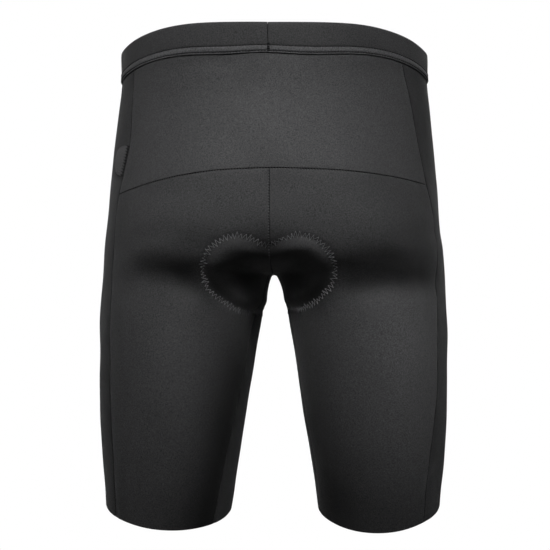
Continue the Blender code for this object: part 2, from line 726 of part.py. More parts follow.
def make_front(seams, pad, side, finish):
    """The front of one leg with its half of the belly, from the waist seam to the hem."""
    hand = "right" if side > 0 else "left"
    outer = seams.side["front", side]
    upper_rows = SIDE_ROWS_YOKE + SEAT_ROWS_UPPER
    upper = along(seams.front[::-1], upper_rows + 1)
    inner = np.concatenate([upper, seams.inner["front", side][1:]])
    top = waist_seam(waist_turns(seams, side, "front")[::-1], side)
    top[0, 0] = 0
    top[0], top[-1] = settle(top[0])[0], outer[0]
    inner[0] = top[0]
    ends = to_turn(np.array([inner[-1], outer[-1]]), side)[:, 0]
    low = hem(np.linspace(ends[0], ends[1], HALF_COLUMNS + 1), side)
    low[0], low[-1] = inner[-1], outer[-1]
    grid = patch(top, low, inner, outer, side)
    return cloth_piece(f"front_{hand}", grid, pad, finish, "tse")


def make_side(seams, pad, side, finish):
    hand = "right" if side > 0 else "left"
    back, front = seams.side["back", side], seams.side["front", side]
    top = waist_seam(waist_turns(seams, side, "side"), side)
    ends = to_turn(np.array([back[-1], front[-1]]), side)[:, 0]
    low = hem(np.linspace(*ends, SIDE_COLUMNS + 1), side)
    top[0], top[-1], low[0], low[-1] = back[0], front[0], back[-1], front[-1]
    grid = patch(top, low, back, front, side)
    return cloth_piece(f"side_{hand}", grid, pad, finish, "tse")


def make_inner(seams, pad, side, finish):
    hand = "right" if side > 0 else "left"
    back, front = seams.inner["back", side], seams.inner["front", side]
    top = along(seams.crotch, INNER_COLUMNS + 1)
    ends = to_turn(np.array([back[-1], front[-1]]), side)[:, 0] % 360
    low = hem(np.linspace(*ends, INNER_COLUMNS + 1), side)
    low[0], low[-1] = back[-1], front[-1]
    grid = patch(top, low, back, front, side, full_turn=True)
    return cloth_piece(f"inner_leg_{hand}", grid, pad, finish, "tse")


def make_waistband(seams, finish):
    """One band sewn into a ring at the centre back, with a covered seam along its lower edge."""
    gap = SEAM_GAP / 2
    outer, inner = [], []
    for level in BAND_LEVELS:
        halves = []
        for side in (1, -1):
            half = waist_seam(waist_turns(seams, side), side, level["up"] / BAND_HEIGHT)
            half[0, 0] = BAND_SEAM_X + side * gap
            half[-1, 0] = 0.0
            halves.append(half)
        line = np.concatenate([halves[0], halves[1][-2::-1]])
        if level["up"] == 0:
            line[:, 2] += gap
        normals = outward(line)
        outer.append(line + normals * (BAND_PROUD + level["lift"]))
        inner.append(line + normals * (BAND_PROUD - BAND_WALL))
    wall("waistband", np.array(outer), np.array(inner), finish)


def lie_inside(corners, normals, triangles, tree):
    """Sinks a sheet's corners along their normals until its facets are clear of the cloth's."""
    corners = corners - normals * LAY_GAP
    for _ in range(PAD_ROUNDS):
        sheet = BVHTree.FromPolygons(corners.tolist(), triangles.tolist())
        met = sorted({facet for facet, _ in sheet.overlap(tree)})
        if not met:
            break
        touched = np.unique(triangles[met])
        corners[touched] -= normals[touched] * PAD_STEP
    return corners - normals * LAY_GAP


def make_pad(pad, panels, finish):
    """The pad lies inside the cloth, thick in the middle and thin at its stitched edge."""
    turn, share = np.meshgrid(np.linspace(0, 360, PAD_SPOKES, endpoint=False),
                              np.linspace(PAD_REACH, 0, PAD_RINGS)[:-1])
    middle = pad.at(np.zeros(1), np.zeros(1))
    spots = np.concatenate([pad.polar(turn, share).reshape(-1, 3), middle])
    face, normals = dress(spots, pad)
    share = np.append(share.ravel(), 0.0)[:, None]
    grid = np.arange(len(spots) - 1).reshape(-1, PAD_SPOKES)
    beside = np.roll(grid, -1, axis=1)
    triangles = [np.stack([grid[:-1], beside[:-1], beside[1:]], axis=-1),
                 np.stack([grid[:-1], beside[1:], grid[1:]], axis=-1),
                 np.stack([grid[-1:], beside[-1:], np.full_like(grid[-1:], len(spots) - 1)], axis=-1)]
    triangles = np.concatenate([t.reshape(-1, 3) for t in triangles])
    outer = lie_inside(face - normals * WALL, normals, triangles, faces_of(panels))
    inner = outer - normals * (PAD_THIN + (PAD_THICK - PAD_THIN) * ease((1 - share) / PAD_BEVEL))
    mesh = bmesh.new()
    sheets = [[mesh.verts.new(p) for p in sheet] for sheet in (outer, inner)]
    for a, b, c in triangles:
        for sheet in sheets:
            mesh.faces.new((sheet[a], sheet[b], sheet[c]))
    for a, b in zip(grid[0], beside[0]):
        mesh.faces.new((sheets[0][a], sheets[0][b], sheets[1][b], sheets[1][a]))
    return as_object("seat_pad", mesh, finish)


def make_tab(seams, finish):
    """A half-round tab sewn into the left side seam, lying forward over the side panel."""
    line = seams.side["back", -1]
    order = np.argsort(line[:, 2])
    z = TAB_MIDDLE_Z + TAB_HEIGHT * np.linspace(0.5, -0.5, TAB_ROWS + 1)
    start = np.stack([np.interp(z, line[order, 2], line[order, k]) for k in range(3)], axis=1)
    across = (z - TAB_MIDDLE_Z) / (TAB_HEIGHT / 2)
    bow = np.sqrt(np.clip(1 - np.abs(across)**TAB_ROUND, 0, 1))
    width = TAB_WIDTH * (TAB_ROOT + (1 - TAB_ROOT) * bow)
    points = np.stack([walk(start, [0, 1, 0], TAB_INSET + width * share)[-1]
                       for share in np.linspace(0, 1, TAB_COLUMNS + 1)], axis=1)
    normals = outward(points.reshape(-1, 3)).reshape(points.shape)
    face = points + normals * (LAY_GAP + TAB_WALL)
    wall("side_tab", face, points + normals * LAY_GAP, finish)


def main():
    for old in list(bpy.data.objects):
        bpy.data.objects.remove(old)
    finishes = {name: material(name) for name in COLOURS}
    seams = Seams()
    pad = Pad(seams)
    yoke, yoke_low = make_yoke(seams, pad, finishes["cloth"])
    panels = [yoke]
    for side in (1, -1):
        panels += [
            make_seat(seams, pad, yoke_low, side, finishes["cloth"]),
            make_front(seams, pad, side, finishes["cloth"]),
            make_side(seams, pad, side, finishes["side_cloth"]),
            make_inner(seams, pad, side, finishes["side_cloth"]),
        ]
    make_waistband(seams, finishes["band"])
    make_pad(pad, panels, finishes["pad"])
    make_tab(seams, finishes["tab"])


main()
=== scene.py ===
"""Looks of the triathlon shorts: cloth panels as thin shells with their seams, creases and stitching, the
seat pad, the waistband and the side tab, in plain studio light.

Metres, +Z up. The wearer faces +Y, so the back of the shorts looks along -Y and +X is the wearer's
right. The figure and the seams repeat the construction's sizes, sampled more finely.
"""

import json
import math

import bpy
import numpy as np
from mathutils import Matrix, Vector


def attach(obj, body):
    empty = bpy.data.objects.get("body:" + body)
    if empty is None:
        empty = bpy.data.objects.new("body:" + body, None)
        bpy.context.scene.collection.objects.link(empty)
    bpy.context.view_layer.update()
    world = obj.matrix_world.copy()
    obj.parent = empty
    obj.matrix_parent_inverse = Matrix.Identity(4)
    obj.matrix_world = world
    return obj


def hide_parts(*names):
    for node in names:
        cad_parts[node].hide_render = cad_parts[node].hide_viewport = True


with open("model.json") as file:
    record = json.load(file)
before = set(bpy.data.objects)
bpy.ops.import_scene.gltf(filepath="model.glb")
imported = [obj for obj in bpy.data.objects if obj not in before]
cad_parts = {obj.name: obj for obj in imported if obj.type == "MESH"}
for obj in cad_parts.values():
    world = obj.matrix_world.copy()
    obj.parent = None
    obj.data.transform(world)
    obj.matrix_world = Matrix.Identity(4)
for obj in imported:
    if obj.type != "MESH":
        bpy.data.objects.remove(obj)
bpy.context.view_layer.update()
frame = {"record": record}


def table(names, *rows):
    """Rows of named values."""
    return tuple(dict(zip(names.split(), row)) for row in rows)


def column(rows, name):
    """One column of a table."""
    return [row[name] for row in rows]


# The wearer's sides, by the sign of x, and the faces of the shorts
HANDS = {1: "right", -1: "left"}
FACES = ("back", "front")
BACK_TURN = 90.0         # turn of the middle of the back
FRONT_TURN = -90.0       # and of the front

# Cloth
WALL = 0.0012            # thickness of the stretch cloth
SEAM_GAP = 0.0003        # between the cut edges of two pieces
LAY_GAP = 0.0003         # between a piece and what it lies on

# Waistband
BAND_HEIGHT = 0.0270
BAND_SKEW = 0.0015       # wider on the left and narrower on the right by this, as worn
BAND_LEAN = 0.0008       # higher on the left and lower on the right by this
BAND_PROUD = 0.0006      # the band stands proud of the panels below it

# Height of the waistband's top edge, by turn from the side: 90 is the back and -90 the front
BAND_TOP = table("turn z",
    (90.0, 0.0224), (75.0, 0.0232), (60.0, 0.0232), (45.0, 0.0202), (30.0, 0.0153), (15.0, 0.0108),
    (0.0, 0.0095), (-30.0, 0.0060), (-60.0, 0.0000), (-90.0, -0.0030))

# How much lower than that the band's lower edge dips behind, at distances to the right of the middle
BAND_DIPS = table("x dip",
    (-0.150, 0.0000), (-0.105, -0.0003), (-0.075, 0.0004), (-0.035, 0.0014), (-0.006, 0.0001),
    (0.030, 0.0024), (0.064, 0.0016), (0.095, -0.0001), (0.150, 0.0000))
BAND_DIP_BACK = 0.030    # it dips fully this far behind the middle

# Profile of the waistband: height up from its lower edge, and how far each face stands out. From
# below: a rolled edge, the lower stitch row, the covered ridge, the upper stitch row, the plain band
# and the fold at the top.
BAND_PROFILE = table("up out back",
    (0.00000, -0.00065, -0.00150), (0.00015, -0.00030, -0.00190), (0.00045, 0.00006, -0.00215),
    (0.00085, 0.00030, -0.00220), (0.00130, 0.00030, -0.00220), (0.00165, 0.00013, -0.00220),
    (0.00190, 0.00008, -0.00220), (0.00220, 0.00022, -0.00220), (0.00260, 0.00055, -0.00220),
    (0.00330, 0.00072, -0.00220), (0.00440, 0.00077, -0.00220), (0.00550, 0.00072, -0.00220),
    (0.00620, 0.00052, -0.00220), (0.00658, 0.00020, -0.00220), (0.00685, 0.00008, -0.00220),
    (0.00725, 0.00014, -0.00220), (0.00850, 0.00026, -0.00220), (0.01200, 0.00036, -0.00220),
    (0.01650, 0.00040, -0.00220), (0.02100, 0.00036, -0.00220), (0.02400, 0.00026, -0.00218),
    (0.02570, 0.00008, -0.00205), (0.02650, -0.00030, -0.00175), (0.02700, -0.00085, -0.00125))
BAND_STITCH_ROWS = (0.00190, 0.00685)
BAND_SPACING = 0.0016    # between the points round the band
BAND_SEAM_ARC = -0.0020  # its seam is this far to the right of the middle, so a little to the left
BAND_TACK = (0.00190, 0.00825)     # foot and head of the bar tack across the ridge

# Yoke seam, straight across the back
YOKE_BACK_Z = -0.1060    # at the centre back
YOKE_DROP = 0.0149       # lower by this at the side seams
YOKE_POWER = 2.2
YOKE_HALF = 0.137        # distance out at which it is that much lower
YOKE_SKEW = 0.0045       # lower on the left and higher on the right by this, as worn
YOKE_DEPTH = 0.118       # from the waistband to the seam, over the cloth

# Hems
HEM_Z = -0.4115          # at the outer side of the leg
HEM_BACK = dict(left=0.0120, right=0.0150)     # lower by this at the back
HEM_FRONT = 0.0080       # higher by this at the front
HEM_INSIDE = dict(left=0.0100, right=0.0060)   # lower by this at the inner side
HEM_POWER = 1.4

# Crotch: length of the edge along which the two inner leg panels meet
CROTCH_EDGE = 0.056

# Seat pad
PAD_THICK = 0.0060       # in the middle
PAD_THIN = 0.0015        # at its stitched edge
PAD_BEVEL = 0.35         # share of its reach over which it thins
PAD_REACH = 0.97         # its outermost ring, just inside the zigzag seam
PAD_LIFT = 0.0042        # how far the pad pushes the cloth out
PAD_RAMP = 0.0110        # width over which the cloth rises to that
PAD_NARROW = 0.965       # its width, as a share of the outline's below
PAD_ASIDE = -0.0013      # it sits this far to the left, as worn

# Side tab on the left side seam
TAB_MIDDLE_Z = -0.0953
TAB_HEIGHT = 0.0270
TAB_WIDTH = 0.0240
TAB_WALL = 0.0009
TAB_ROOT = 0.18          # share of its width at the two ends of its sewn edge
TAB_ROUND = 2.3          # squareness of its free edge
TAB_INSET = 0.0006       # it starts this far forward of the seam

# Sections of the right half, from the waist to below the hem. outer and inner are how far out from
# the middle the half reaches; a negative inner crosses the middle, where the halves merge. back and
# front are the depths, power is the squareness, and web fills the valley between the two halves.
SECTIONS = table("z outer inner back front power web",
    (0.050, 0.1418, -0.1425, 0.1020, 0.0990, 2.20, 0.0010),
    (0.000, 0.1436, -0.1430, 0.1040, 0.1020, 2.20, 0.0020),
    (-0.040, 0.1465, -0.1330, 0.1075, 0.1045, 2.20, 0.0080),
    (-0.080, 0.1498, -0.1130, 0.1140, 0.1060, 2.20, 0.0140),
    (-0.120, 0.1534, -0.0830, 0.1205, 0.1060, 2.20, 0.0180),
    (-0.155, 0.1566, -0.0450, 0.1220, 0.1045, 2.18, 0.0430),
    (-0.180, 0.1593, -0.0165, 0.1178, 0.1025, 2.15, 0.0480),
    (-0.193, 0.1604, 0.0052, 0.1125, 0.1012, 2.12, 0.0245),
    (-0.199, 0.1608, 0.0080, 0.1098, 0.1008, 2.12, 0.0225),
    (-0.208, 0.1615, 0.0096, 0.1066, 0.1002, 2.10, 0.0190),
    (-0.224, 0.1626, 0.0112, 0.1046, 0.0990, 2.10, 0.0120),
    (-0.250, 0.1637, 0.0147, 0.1028, 0.0970, 2.08, 0.0070),
    (-0.300, 0.1630, 0.0218, 0.0962, 0.0920, 2.06, 0.0040),
    (-0.350, 0.1619, 0.0305, 0.0852, 0.0840, 2.05, 0.0040),
    (-0.400, 0.1590, 0.0385, 0.0742, 0.0750, 2.05, 0.0040),
    (-0.440, 0.1560, 0.0445, 0.0655, 0.0690, 2.05, 0.0040))
WAIST_HALF = SECTIONS[1]["outer"]  # half its width at the origin's height

# The left leg is a little wider than the right, as worn: by this share, below this height
LEG_UNEVEN = 0.014
LEG_TOP_Z = -0.190
LEG_BLEND = 0.050

# Seams, as turns in degrees about the centre of each half: 0 is the outer side, 90 the back, 180 the
# inner side, and a negative turn is on the front. The two sides differ a little, as worn.
SIDE_SEAMS = table("z back_left back_right front_left front_right",
    (0.020, 29.0, 40.0, -31.0, -31.0), (-0.030, 31.5, 35.3, -33.0, -33.0),
    (-0.080, 34.6, 31.8, -34.0, -34.0), (-0.130, 32.8, 26.4, -34.0, -34.0),
    (-0.170, 36.2, 23.4, -34.0, -34.0), (-0.210, 40.0, 30.6, -35.0, -35.0),
    (-0.260, 42.2, 36.0, -36.0, -36.0), (-0.310, 41.4, 37.6, -37.0, -37.0),
    (-0.360, 43.0, 43.8, -38.0, -38.0), (-0.440, 42.6, 50.5, -40.0, -40.0))
INNER_SEAMS = table("z back_left back_right front_left front_right",
    (-0.240, 158.8, 166.0, 205.0, 205.0), (-0.300, 154.2, 165.0, 206.0, 206.0),
    (-0.360, 148.8, 164.0, 208.0, 208.0), (-0.440, 140.0, 163.0, 210.0, 210.0))

# Soft troughs where the seat turns under into the legs: ends of each as x and z, how wide it is above
# and below its line, and its depth.
TROUGHS = table("x0 z0 x1 z1 above below depth",
    (-0.112, -0.1950, -0.076, -0.2035, 0.0150, 0.0135, 0.0054),
    (-0.072, -0.2060, -0.057, -0.2180, 0.0130, 0.0090, 0.0022),
    (0.072, -0.2055, 0.134, -0.2025, 0.0225, 0.0140, 0.0070))
TROUGH_FADE = 0.018      # length over which a trough's end dies away
TROUGH_BACK = 0.030      # troughs are at full depth this far behind the middle

# Outline of the pad, about the lowest point of the crotch: turn 0 is straight back, 90 to the side.
PAD_OUTLINE = table("turn reach",
    (0.0, 0.1178), (6.0, 0.1248), (12.0, 0.1310), (20.0, 0.1312), (30.0, 0.1222), (38.0, 0.1038),
    (46.0, 0.0812), (54.0, 0.0627), (65.0, 0.052), (80.0, 0.0455), (100.0, 0.045), (120.0, 0.050),
    (150.0, 0.072), (180.0, 0.082))

# Share of the lift along the outline, less where the pad passes between the legs
PAD_LIFTS = table("turn left right",
    (0.0, 1.0, 1.0), (40.0, 1.0, 1.0), (60.0, 0.85, 0.70), (80.0, 0.70, 0.40), (105.0, 0.70, 0.40),
    (130.0, 0.85, 0.70), (150.0, 1.0, 1.0), (180.0, 1.0, 1.0))

PAD_LIFT_INSIDE = (0.014, 0.036)   # from here to here inside the outline, the share grows to 1

# Work on the figure
STEP = 0.00002           # for its slopes
SETTLE_ROUNDS = 8        # of moving points onto it
NEAR_ROUNDS = 3          # of that for points that are already near it
LAID_ROUNDS = 4          # of that for points that are laid on the cloth
WAIST_ROUNDS = 3         # of finding the waist seam's height, which goes with its place
YOKE_ROUNDS = 4          # and the yoke seam's
WALK = 0.002             # step of a walk over the cloth
COARSE_WALK = 0.003      # step of a walk from the middle line out over the pad
MIDDLE_LENGTH = 0.62     # longer than the middle line from waist to waist
MIDDLE_HEADING = (0.0, -0.1, -1.0)   # in which that line sets off at the back
FORWARD = (0.0, 1.0, 0.0)
BACKWARD = (0.0, -1.0, 0.0)
LINE_POINTS = 200        # points on a seam line before it is divided
INNER_CROWD = 1.5        # they are closer together at the top of an inner leg seam
INNER_SETTLE = 12.0      # how fast an inner leg seam leaves the middle plane
INNER_TOP = 0.001        # its turns run from this far below the crotch edge
OUTLINE_POINTS = 360     # points round the pad's outline
OUTLINE_INSIDE = 0.9     # a share of its reach that is surely inside
OUTLINE_MARGIN = 0.03    # points further off than this aren't measured from it
OUTLINE_BLOCK = 2000     # points that are measured from it at once

# Sampling of the panels: how far apart their points are, and where they lie beside a seam
SPACING = 0.0019
SPACING_PLAIN = 0.0030
EDGE_STEPS = (0.0, 0.0003, 0.0006, 0.0010, 0.0016, 0.0025)

# Seams: the cloth rolls under at them, and puckers a little beside them
ROLL = 0.00045
PULL = 0.0002            # how far a seam pulls the cloth in
PULL_WIDTH = 0.0032
PUCKER = 0.00014
PUCKER_WIDTH = 0.0060
PUCKER_SIZE = 0.0075
PUCKER_SEED = 5
PAD_GROOVE = 0.0007      # depth of the channel that the zigzag seam makes
PAD_GROOVE_WIDTH = 0.0020

# The turned edges inside each seam, overlocked into a flat strip
STRIP_WIDTH = 0.0052
STRIP_DEPTH = 0.00005    # below the inner face of the cloth
STRIP_THICK = 0.00034
STRIP_SPACING = 0.0020
STRIP_COLUMNS = 7        # points across it
STRIP_ROUND = 0.9        # share of its thickness by which its long sides are rounded
STRIP_TRIM = 0.0027      # a strip ends this short of the strip that it meets
HEM_TRIM = 0.0008        # and this short of a hem
BAND_TRIM = 0.0012       # the strip up the band ends this short of its top
BAND_STRIP_POINTS = 14
WAIST_STRIP_DEPTH = 0.00045

# Threads: length and pitch of the stitches along a seam, their radius, how far each leans, and how
# many radii it stands proud
BAND_STITCH = dict(length=0.0018, pitch=0.0027, radius=0.00046, proud=0.2)
YOKE_STITCH = dict(reach=0.00016, lean=0.00052, pitch=0.00245, radius=0.00042)
YOKE_PALE_STITCH = dict(reach=0.00010, lean=0.00050, pitch=0.00245, radius=0.00026,
                        aside=-0.00095, shift=0.5)
SIDE_STITCH = dict(reach=0.00030, lean=0.00040, pitch=0.00190, radius=0.00022)
MIDDLE_STITCH = dict(reach=0.00020, lean=0.00055, pitch=0.00245, radius=0.00020)
PALE_STITCH = dict(reach=0.00010, lean=0.00060, pitch=0.00245, radius=0.00030, aside=-0.00075, shift=0.5)
# The zigzag's copy in dark thread, moved along it by beside and sunk lower, is a painted shadow of the pale
# thread
ZIGZAG = dict(inside=0.0022, outside=0.0024, pitch=0.0037, radius=0.00018, uneven=0.0013,
              beside=0.00060, seed=31)
ZIGZAG_REACH = ((0, 1.0), (45, 1.0), (60, 1.5), (95, 1.7), (120, 1.2), (180, 1.0))    # by turn
TAB_STITCH = dict(inside=0.0032, outside=0.0006, pitch=0.00230, radius=0.00036, lean=0.0010, span=0.97)
TACK_STITCH = dict(reach=0.00130, aside=0.00080, lean=0.00020, pitch=0.00157, radius=0.00040, proud=0.5)
STITCH_TRIM = 0.0015     # a row of stitches keeps this far from the ends of its seam
STITCH_AHEAD = 0.0004    # a seam's heading at a stitch is taken over this length
THREAD_SIDES = 6
THREAD_SHARES = np.array([0.0, 0.10, 0.5, 0.90, 1.0])      # points along a stitch
THREAD_GIRTH = np.array([0.35, 1.0, 1.05, 1.0, 0.35])      # share of its radius there
THREAD_SINK = np.array([-0.9, 0.1, 0.45, 0.1, -0.9])       # height there, in radii
THREAD_CREASE = 80.0     # angle in degrees from which an edge of a thread is sharp
CREASE = 50.0            # and of any other piece

# Seat pad
PAD_SPOKES = 144
PAD_RINGS = 30
PAD_CHANNEL = 0.0016     # depth of the channels pressed into its inner face
PAD_CHANNEL_WIDTH = 0.0030
PAD_CHANNELS = (0.46, 0.72)        # at these shares of its reach
PAD_QUILT = 0.00015      # unevenness of its inner face
PAD_QUILT_SIZE = 0.016
PAD_QUILT_SEED = 21

# Side tab
TAB_ROWS = 30
TAB_COLUMNS = 20
TAB_RIM = 0.00022        # how far its rim stands up
TAB_RIM_WIDTH = 0.0011
TAB_EDGE = 0.00035       # radius of its edge

# Soft folds, on the back and, alike, on the hidden front. Each is a line of x and z on
# one face; a negative depth is a ridge.
FOLDS = table("face half_width depth line",
    ("back", 0.0100, 0.0010, ((-0.118, -0.166), (-0.090, -0.160))),
    ("back", 0.0090, 0.0012, ((0.128, -0.165), (0.152, -0.158))),
    ("back", 0.0080, 0.0009, ((-0.104, 0.000), (-0.040, -0.012))),
    ("back", 0.0085, 0.0008, ((0.090, -0.002), (0.128, -0.022))),
    ("back", 0.0055, 0.0010, ((0.150, -0.375), (0.136, -0.398))),
    ("front", 0.0130, 0.0034, ((-0.022, -0.196), (-0.070, -0.158), (-0.118, -0.128))),
    ("front", 0.0120, 0.0031, ((0.024, -0.194), (0.066, -0.160), (0.112, -0.136))),
    ("front", 0.0080, 0.0014, ((-0.040, -0.214), (-0.092, -0.196), (-0.128, -0.180))),
    ("front", 0.0085, 0.0013, ((0.046, -0.218), (0.086, -0.204), (0.120, -0.186))),
    ("front", 0.0070, 0.0011, ((-0.016, -0.168), (-0.040, -0.132))),
    ("front", 0.0070, 0.0010, ((0.018, -0.160), (0.034, -0.128))),
    ("front", 0.0080, 0.0008, ((0.060, -0.330), (0.100, -0.352))),
    ("front", 0.0070, 0.0008, ((-0.066, -0.346), (-0.108, -0.332))))
FOLD_FADE = 0.012        # length over which a fold's end dies away
FOLD_BACK = 0.025        # folds are at full depth this far from the middle plane of the sides

# Painted shade on the cloth over the seat pad, where it turns under between the legs
PAD_SHADE_INSIDE = 0.0010  # from this far inside the zigzag
PAD_SHADE_WIDTH = 0.0045
PAD_SHADE_LINE = ((-0.0574, -0.1885), (-0.0504, -0.1850), (-0.0400, -0.1806), (-0.0270, -0.1756),
                (-0.0165, -0.1722), (-0.0078, -0.1702), (0.0035, -0.1714), (0.0096, -0.1714),
                (0.0357, -0.1714), (0.0427, -0.1749), (0.0479, -0.1808), (0.0522, -0.1887))
PAD_SHADE_SOFT = 0.0032    # on the back, it fades upwards to nothing at that line of x and z
PAD_SHADE_SHARE = 0.52

# Painted light and shade in the cloth's colour: painted shade at the bottom of a trough and along the inner
# leg seams, and broad soft spots of painted light and shade. on is the start of the names of the nodes it
# is for.
TROUGH_SHADE = 0.45
LEG_SHADES = dict(
    left=dict(share=0.93, width=0.0385, top=-0.225, full=-0.300),
    right=dict(share=0.76, width=0.0270, top=-0.285, full=-0.350),
)
PAINTED_LIGHT_SPOTS = table("on x z wide high share",
    ("waistband", 0.012, 0.010, 0.060, 0.100, 0.88), ("yoke", 0.010, -0.048, 0.085, 0.060, 1.20),
    ("yoke", -0.085, -0.008, 0.036, 0.008, 0.75), ("yoke", 0.095, -0.012, 0.030, 0.008, 0.82),
    ("seat", 0.000, -0.128, 0.300, 0.030, 0.82), ("seat", 0.012, -0.130, 0.050, 0.018, 1.22),
    ("seat", -0.095, -0.132, 0.032, 0.012, 1.12), ("seat", -0.100, -0.118, 0.030, 0.010, 0.92),
    ("seat", -0.060, -0.166, 0.070, 0.012, 0.68), ("seat", 0.115, -0.166, 0.045, 0.013, 0.76),
    ("seat", -0.092, -0.182, 0.026, 0.009, 0.72), ("seat", 0.105, -0.180, 0.036, 0.009, 0.52),
    ("seat", 0.000, -0.160, 0.020, 0.008, 0.75), ("seat", -0.018, -0.216, 0.022, 0.010, 1.70),
    ("", -0.010, -0.218, 0.014, 0.016, 3.00), ("", 0.014, -0.214, 0.012, 0.016, 2.40),
    ("", -0.044, -0.207, 0.016, 0.014, 0.62), ("", 0.036, -0.210, 0.018, 0.014, 0.42),
    ("seat", -0.052, -0.226, 0.018, 0.012, 0.84), ("seat", 0.040, -0.222, 0.014, 0.010, 0.76),
    ("seat", 0.080, -0.330, 0.030, 0.070, 0.93), ("", -0.008, -0.218, 0.010, 0.010, 1.50),
    ("side_right", 0.150, -0.045, 0.022, 0.070, 0.40), ("seat", 0.105, -0.410, 0.050, 0.060, 0.84),
    ("", 0.032, -0.320, 0.010, 0.060, 0.78), ("seat", 0.075, -0.218, 0.026, 0.010, 0.72),
    ("seat", 0.130, -0.200, 0.030, 0.016, 0.78), ("seat", -0.085, -0.217, 0.026, 0.010, 0.82),
    ("seat", -0.078, -0.268, 0.028, 0.045, 1.10), ("seat", -0.078, -0.315, 0.028, 0.070, 1.16),
    ("seat", -0.120, -0.315, 0.025, 0.070, 1.02), ("seat", 0.125, -0.305, 0.050, 0.080, 1.64),
    ("seat", 0.122, -0.252, 0.035, 0.050, 1.45), ("seat", 0.060, -0.275, 0.040, 0.045, 1.02),
    ("seat", 0.050, -0.398, 0.030, 0.040, 0.50), ("seat", 0.036, -0.378, 0.014, 0.046, 0.55),
    ("inner_leg_left", -0.030, -0.305, 0.040, 0.036, 0.50), ("seat", 0.000, -0.425, 0.300, 0.036, 0.80),
    ("side_left", -0.150, -0.300, 0.030, 0.090, 0.70))
PAINTED_LIGHT_LIMITS = (0.15, 7.0)

# Painted light and shade on the band, as a share of its colour at heights up it: painted highlights on the
# rolled edge and the covered ridge, and painted shade at the stitch rows
BAND_PAINTED_LIGHT = ((0.00000, 1.30), (0.00045, 1.70), (0.00085, 2.10), (0.00130, 2.00), (0.00165, 0.80),
              (0.00190, 0.40), (0.00220, 0.70), (0.00260, 2.00), (0.00330, 2.15), (0.00550, 1.90),
              (0.00620, 1.55), (0.00658, 0.65), (0.00685, 0.30), (0.00725, 0.70), (0.00850, 1.00),
              (0.02700, 1.00))

# Knit: a fine grain in its colour and height, and painted shade in a thin line where it rolls under at a
# seam
KNIT_GRAIN = 0.0009
GRAIN_TONE = 1.15
SEAM_SHADE = 0.25
SEAM_SHADE_WIDTH = 0.00045

# Each finish: size and amount of the unevenness of its colour, size and depth of its bumps, size and
# amount of the change in its roughness, its least roughness and how it shines
FINISHES = dict(
    knit=dict(uneven=((KNIT_GRAIN, GRAIN_TONE), (0.006, 0.05), (0.045, 0.05)),
              bumps=((KNIT_GRAIN, 0.00010), (0.005, 0.00012)), rough=(0.012, 0.16),
              specular=0.14, sheen=0.08),
    thread=dict(uneven=((0.0006, 0.25), (0.009, 0.60)), bumps=((0.0003, 0.00005),),
                rough=(0.001, 0.20), least=0.60, specular=0.15, sheen=0.0),
    overlock=dict(uneven=((0.002, 0.12),), bumps=((0.0006, 0.00006),),
                  rough=(0.003, 0.20), least=0.55, specular=0.25, sheen=0.10),
    pad=dict(uneven=((0.0012, 0.18), (0.012, 0.12)), bumps=((0.0011, 0.00018), (0.007, 0.00030)),
             rough=(0.008, 0.15), least=0.72, specular=0.20, sheen=0.35),
    tab=dict(uneven=((0.0015, 0.12),), bumps=((0.0008, 0.00006),),
             rough=(0.003, 0.15), least=0.36, specular=0.45, sheen=0.10),
)
SHEEN_ROUGHNESS = 0.4
NOISE_DETAIL = 2.0

# Each knit: width of its columns of loops, height of its rows, their depth and slant, and its least
# roughness
KNITS = dict(
    cloth=dict(wale=0.00075, course=0.00060, depth=0.00005, slant=0.0, least=0.48),
    side_cloth=dict(wale=0.00160, course=0.00110, depth=0.00008, slant=0.7, least=0.52),
    band=dict(wale=0.00060, course=0.00050, depth=0.00004, slant=0.0, least=0.50),
)

# Slanted rows of the overlock's loops and of the tab's floats: dark is the share of the colour between
# them and light how much more they have. The tab's rim is brighter, in the same terms.
OVERLOCK_ROWS = dict(slant=0.35, pitch=0.0011, depth=0.00025, dark=0.55, light=0.6)
TAB_FLOATS = dict(slant=0.45, pitch=0.00095, depth=0.00016, dark=0.75, light=0.5)
TAB_RIM_TONE = dict(width=0.0012, dark=0.85, light=1.2)

# Colours of the threads and of the overlocked strips
THREADS = dict(dark=(0.008, 0.008, 0.009), grey=(0.085, 0.085, 0.088), pale=(0.125, 0.125, 0.130))
OVERLOCK = (0.030, 0.030, 0.032)

# Unevenness of the cloth as worn: size of the bumps and their height
UNEVEN = table("size height seed",
    (0.110, 0.00075, 11), (0.045, 0.00022, 12))
WAVES = 7
WAVE_SIZES = (0.7, 1.5)  # their sizes, as shares of the bumps' size

# Camera: on the back, level, at a distance that fits the photograph's perspective
IMAGE_SIDE = 550
PIXEL = 0.00095          # size of a pixel in the middle plane of the object
CAMERA_TURN = 2.0        # degrees
CAMERA_DISTANCE = 1.25
CAMERA_HEIGHT = -0.198
CAMERA_ASIDE = 0.0007
SENSOR = 36.0

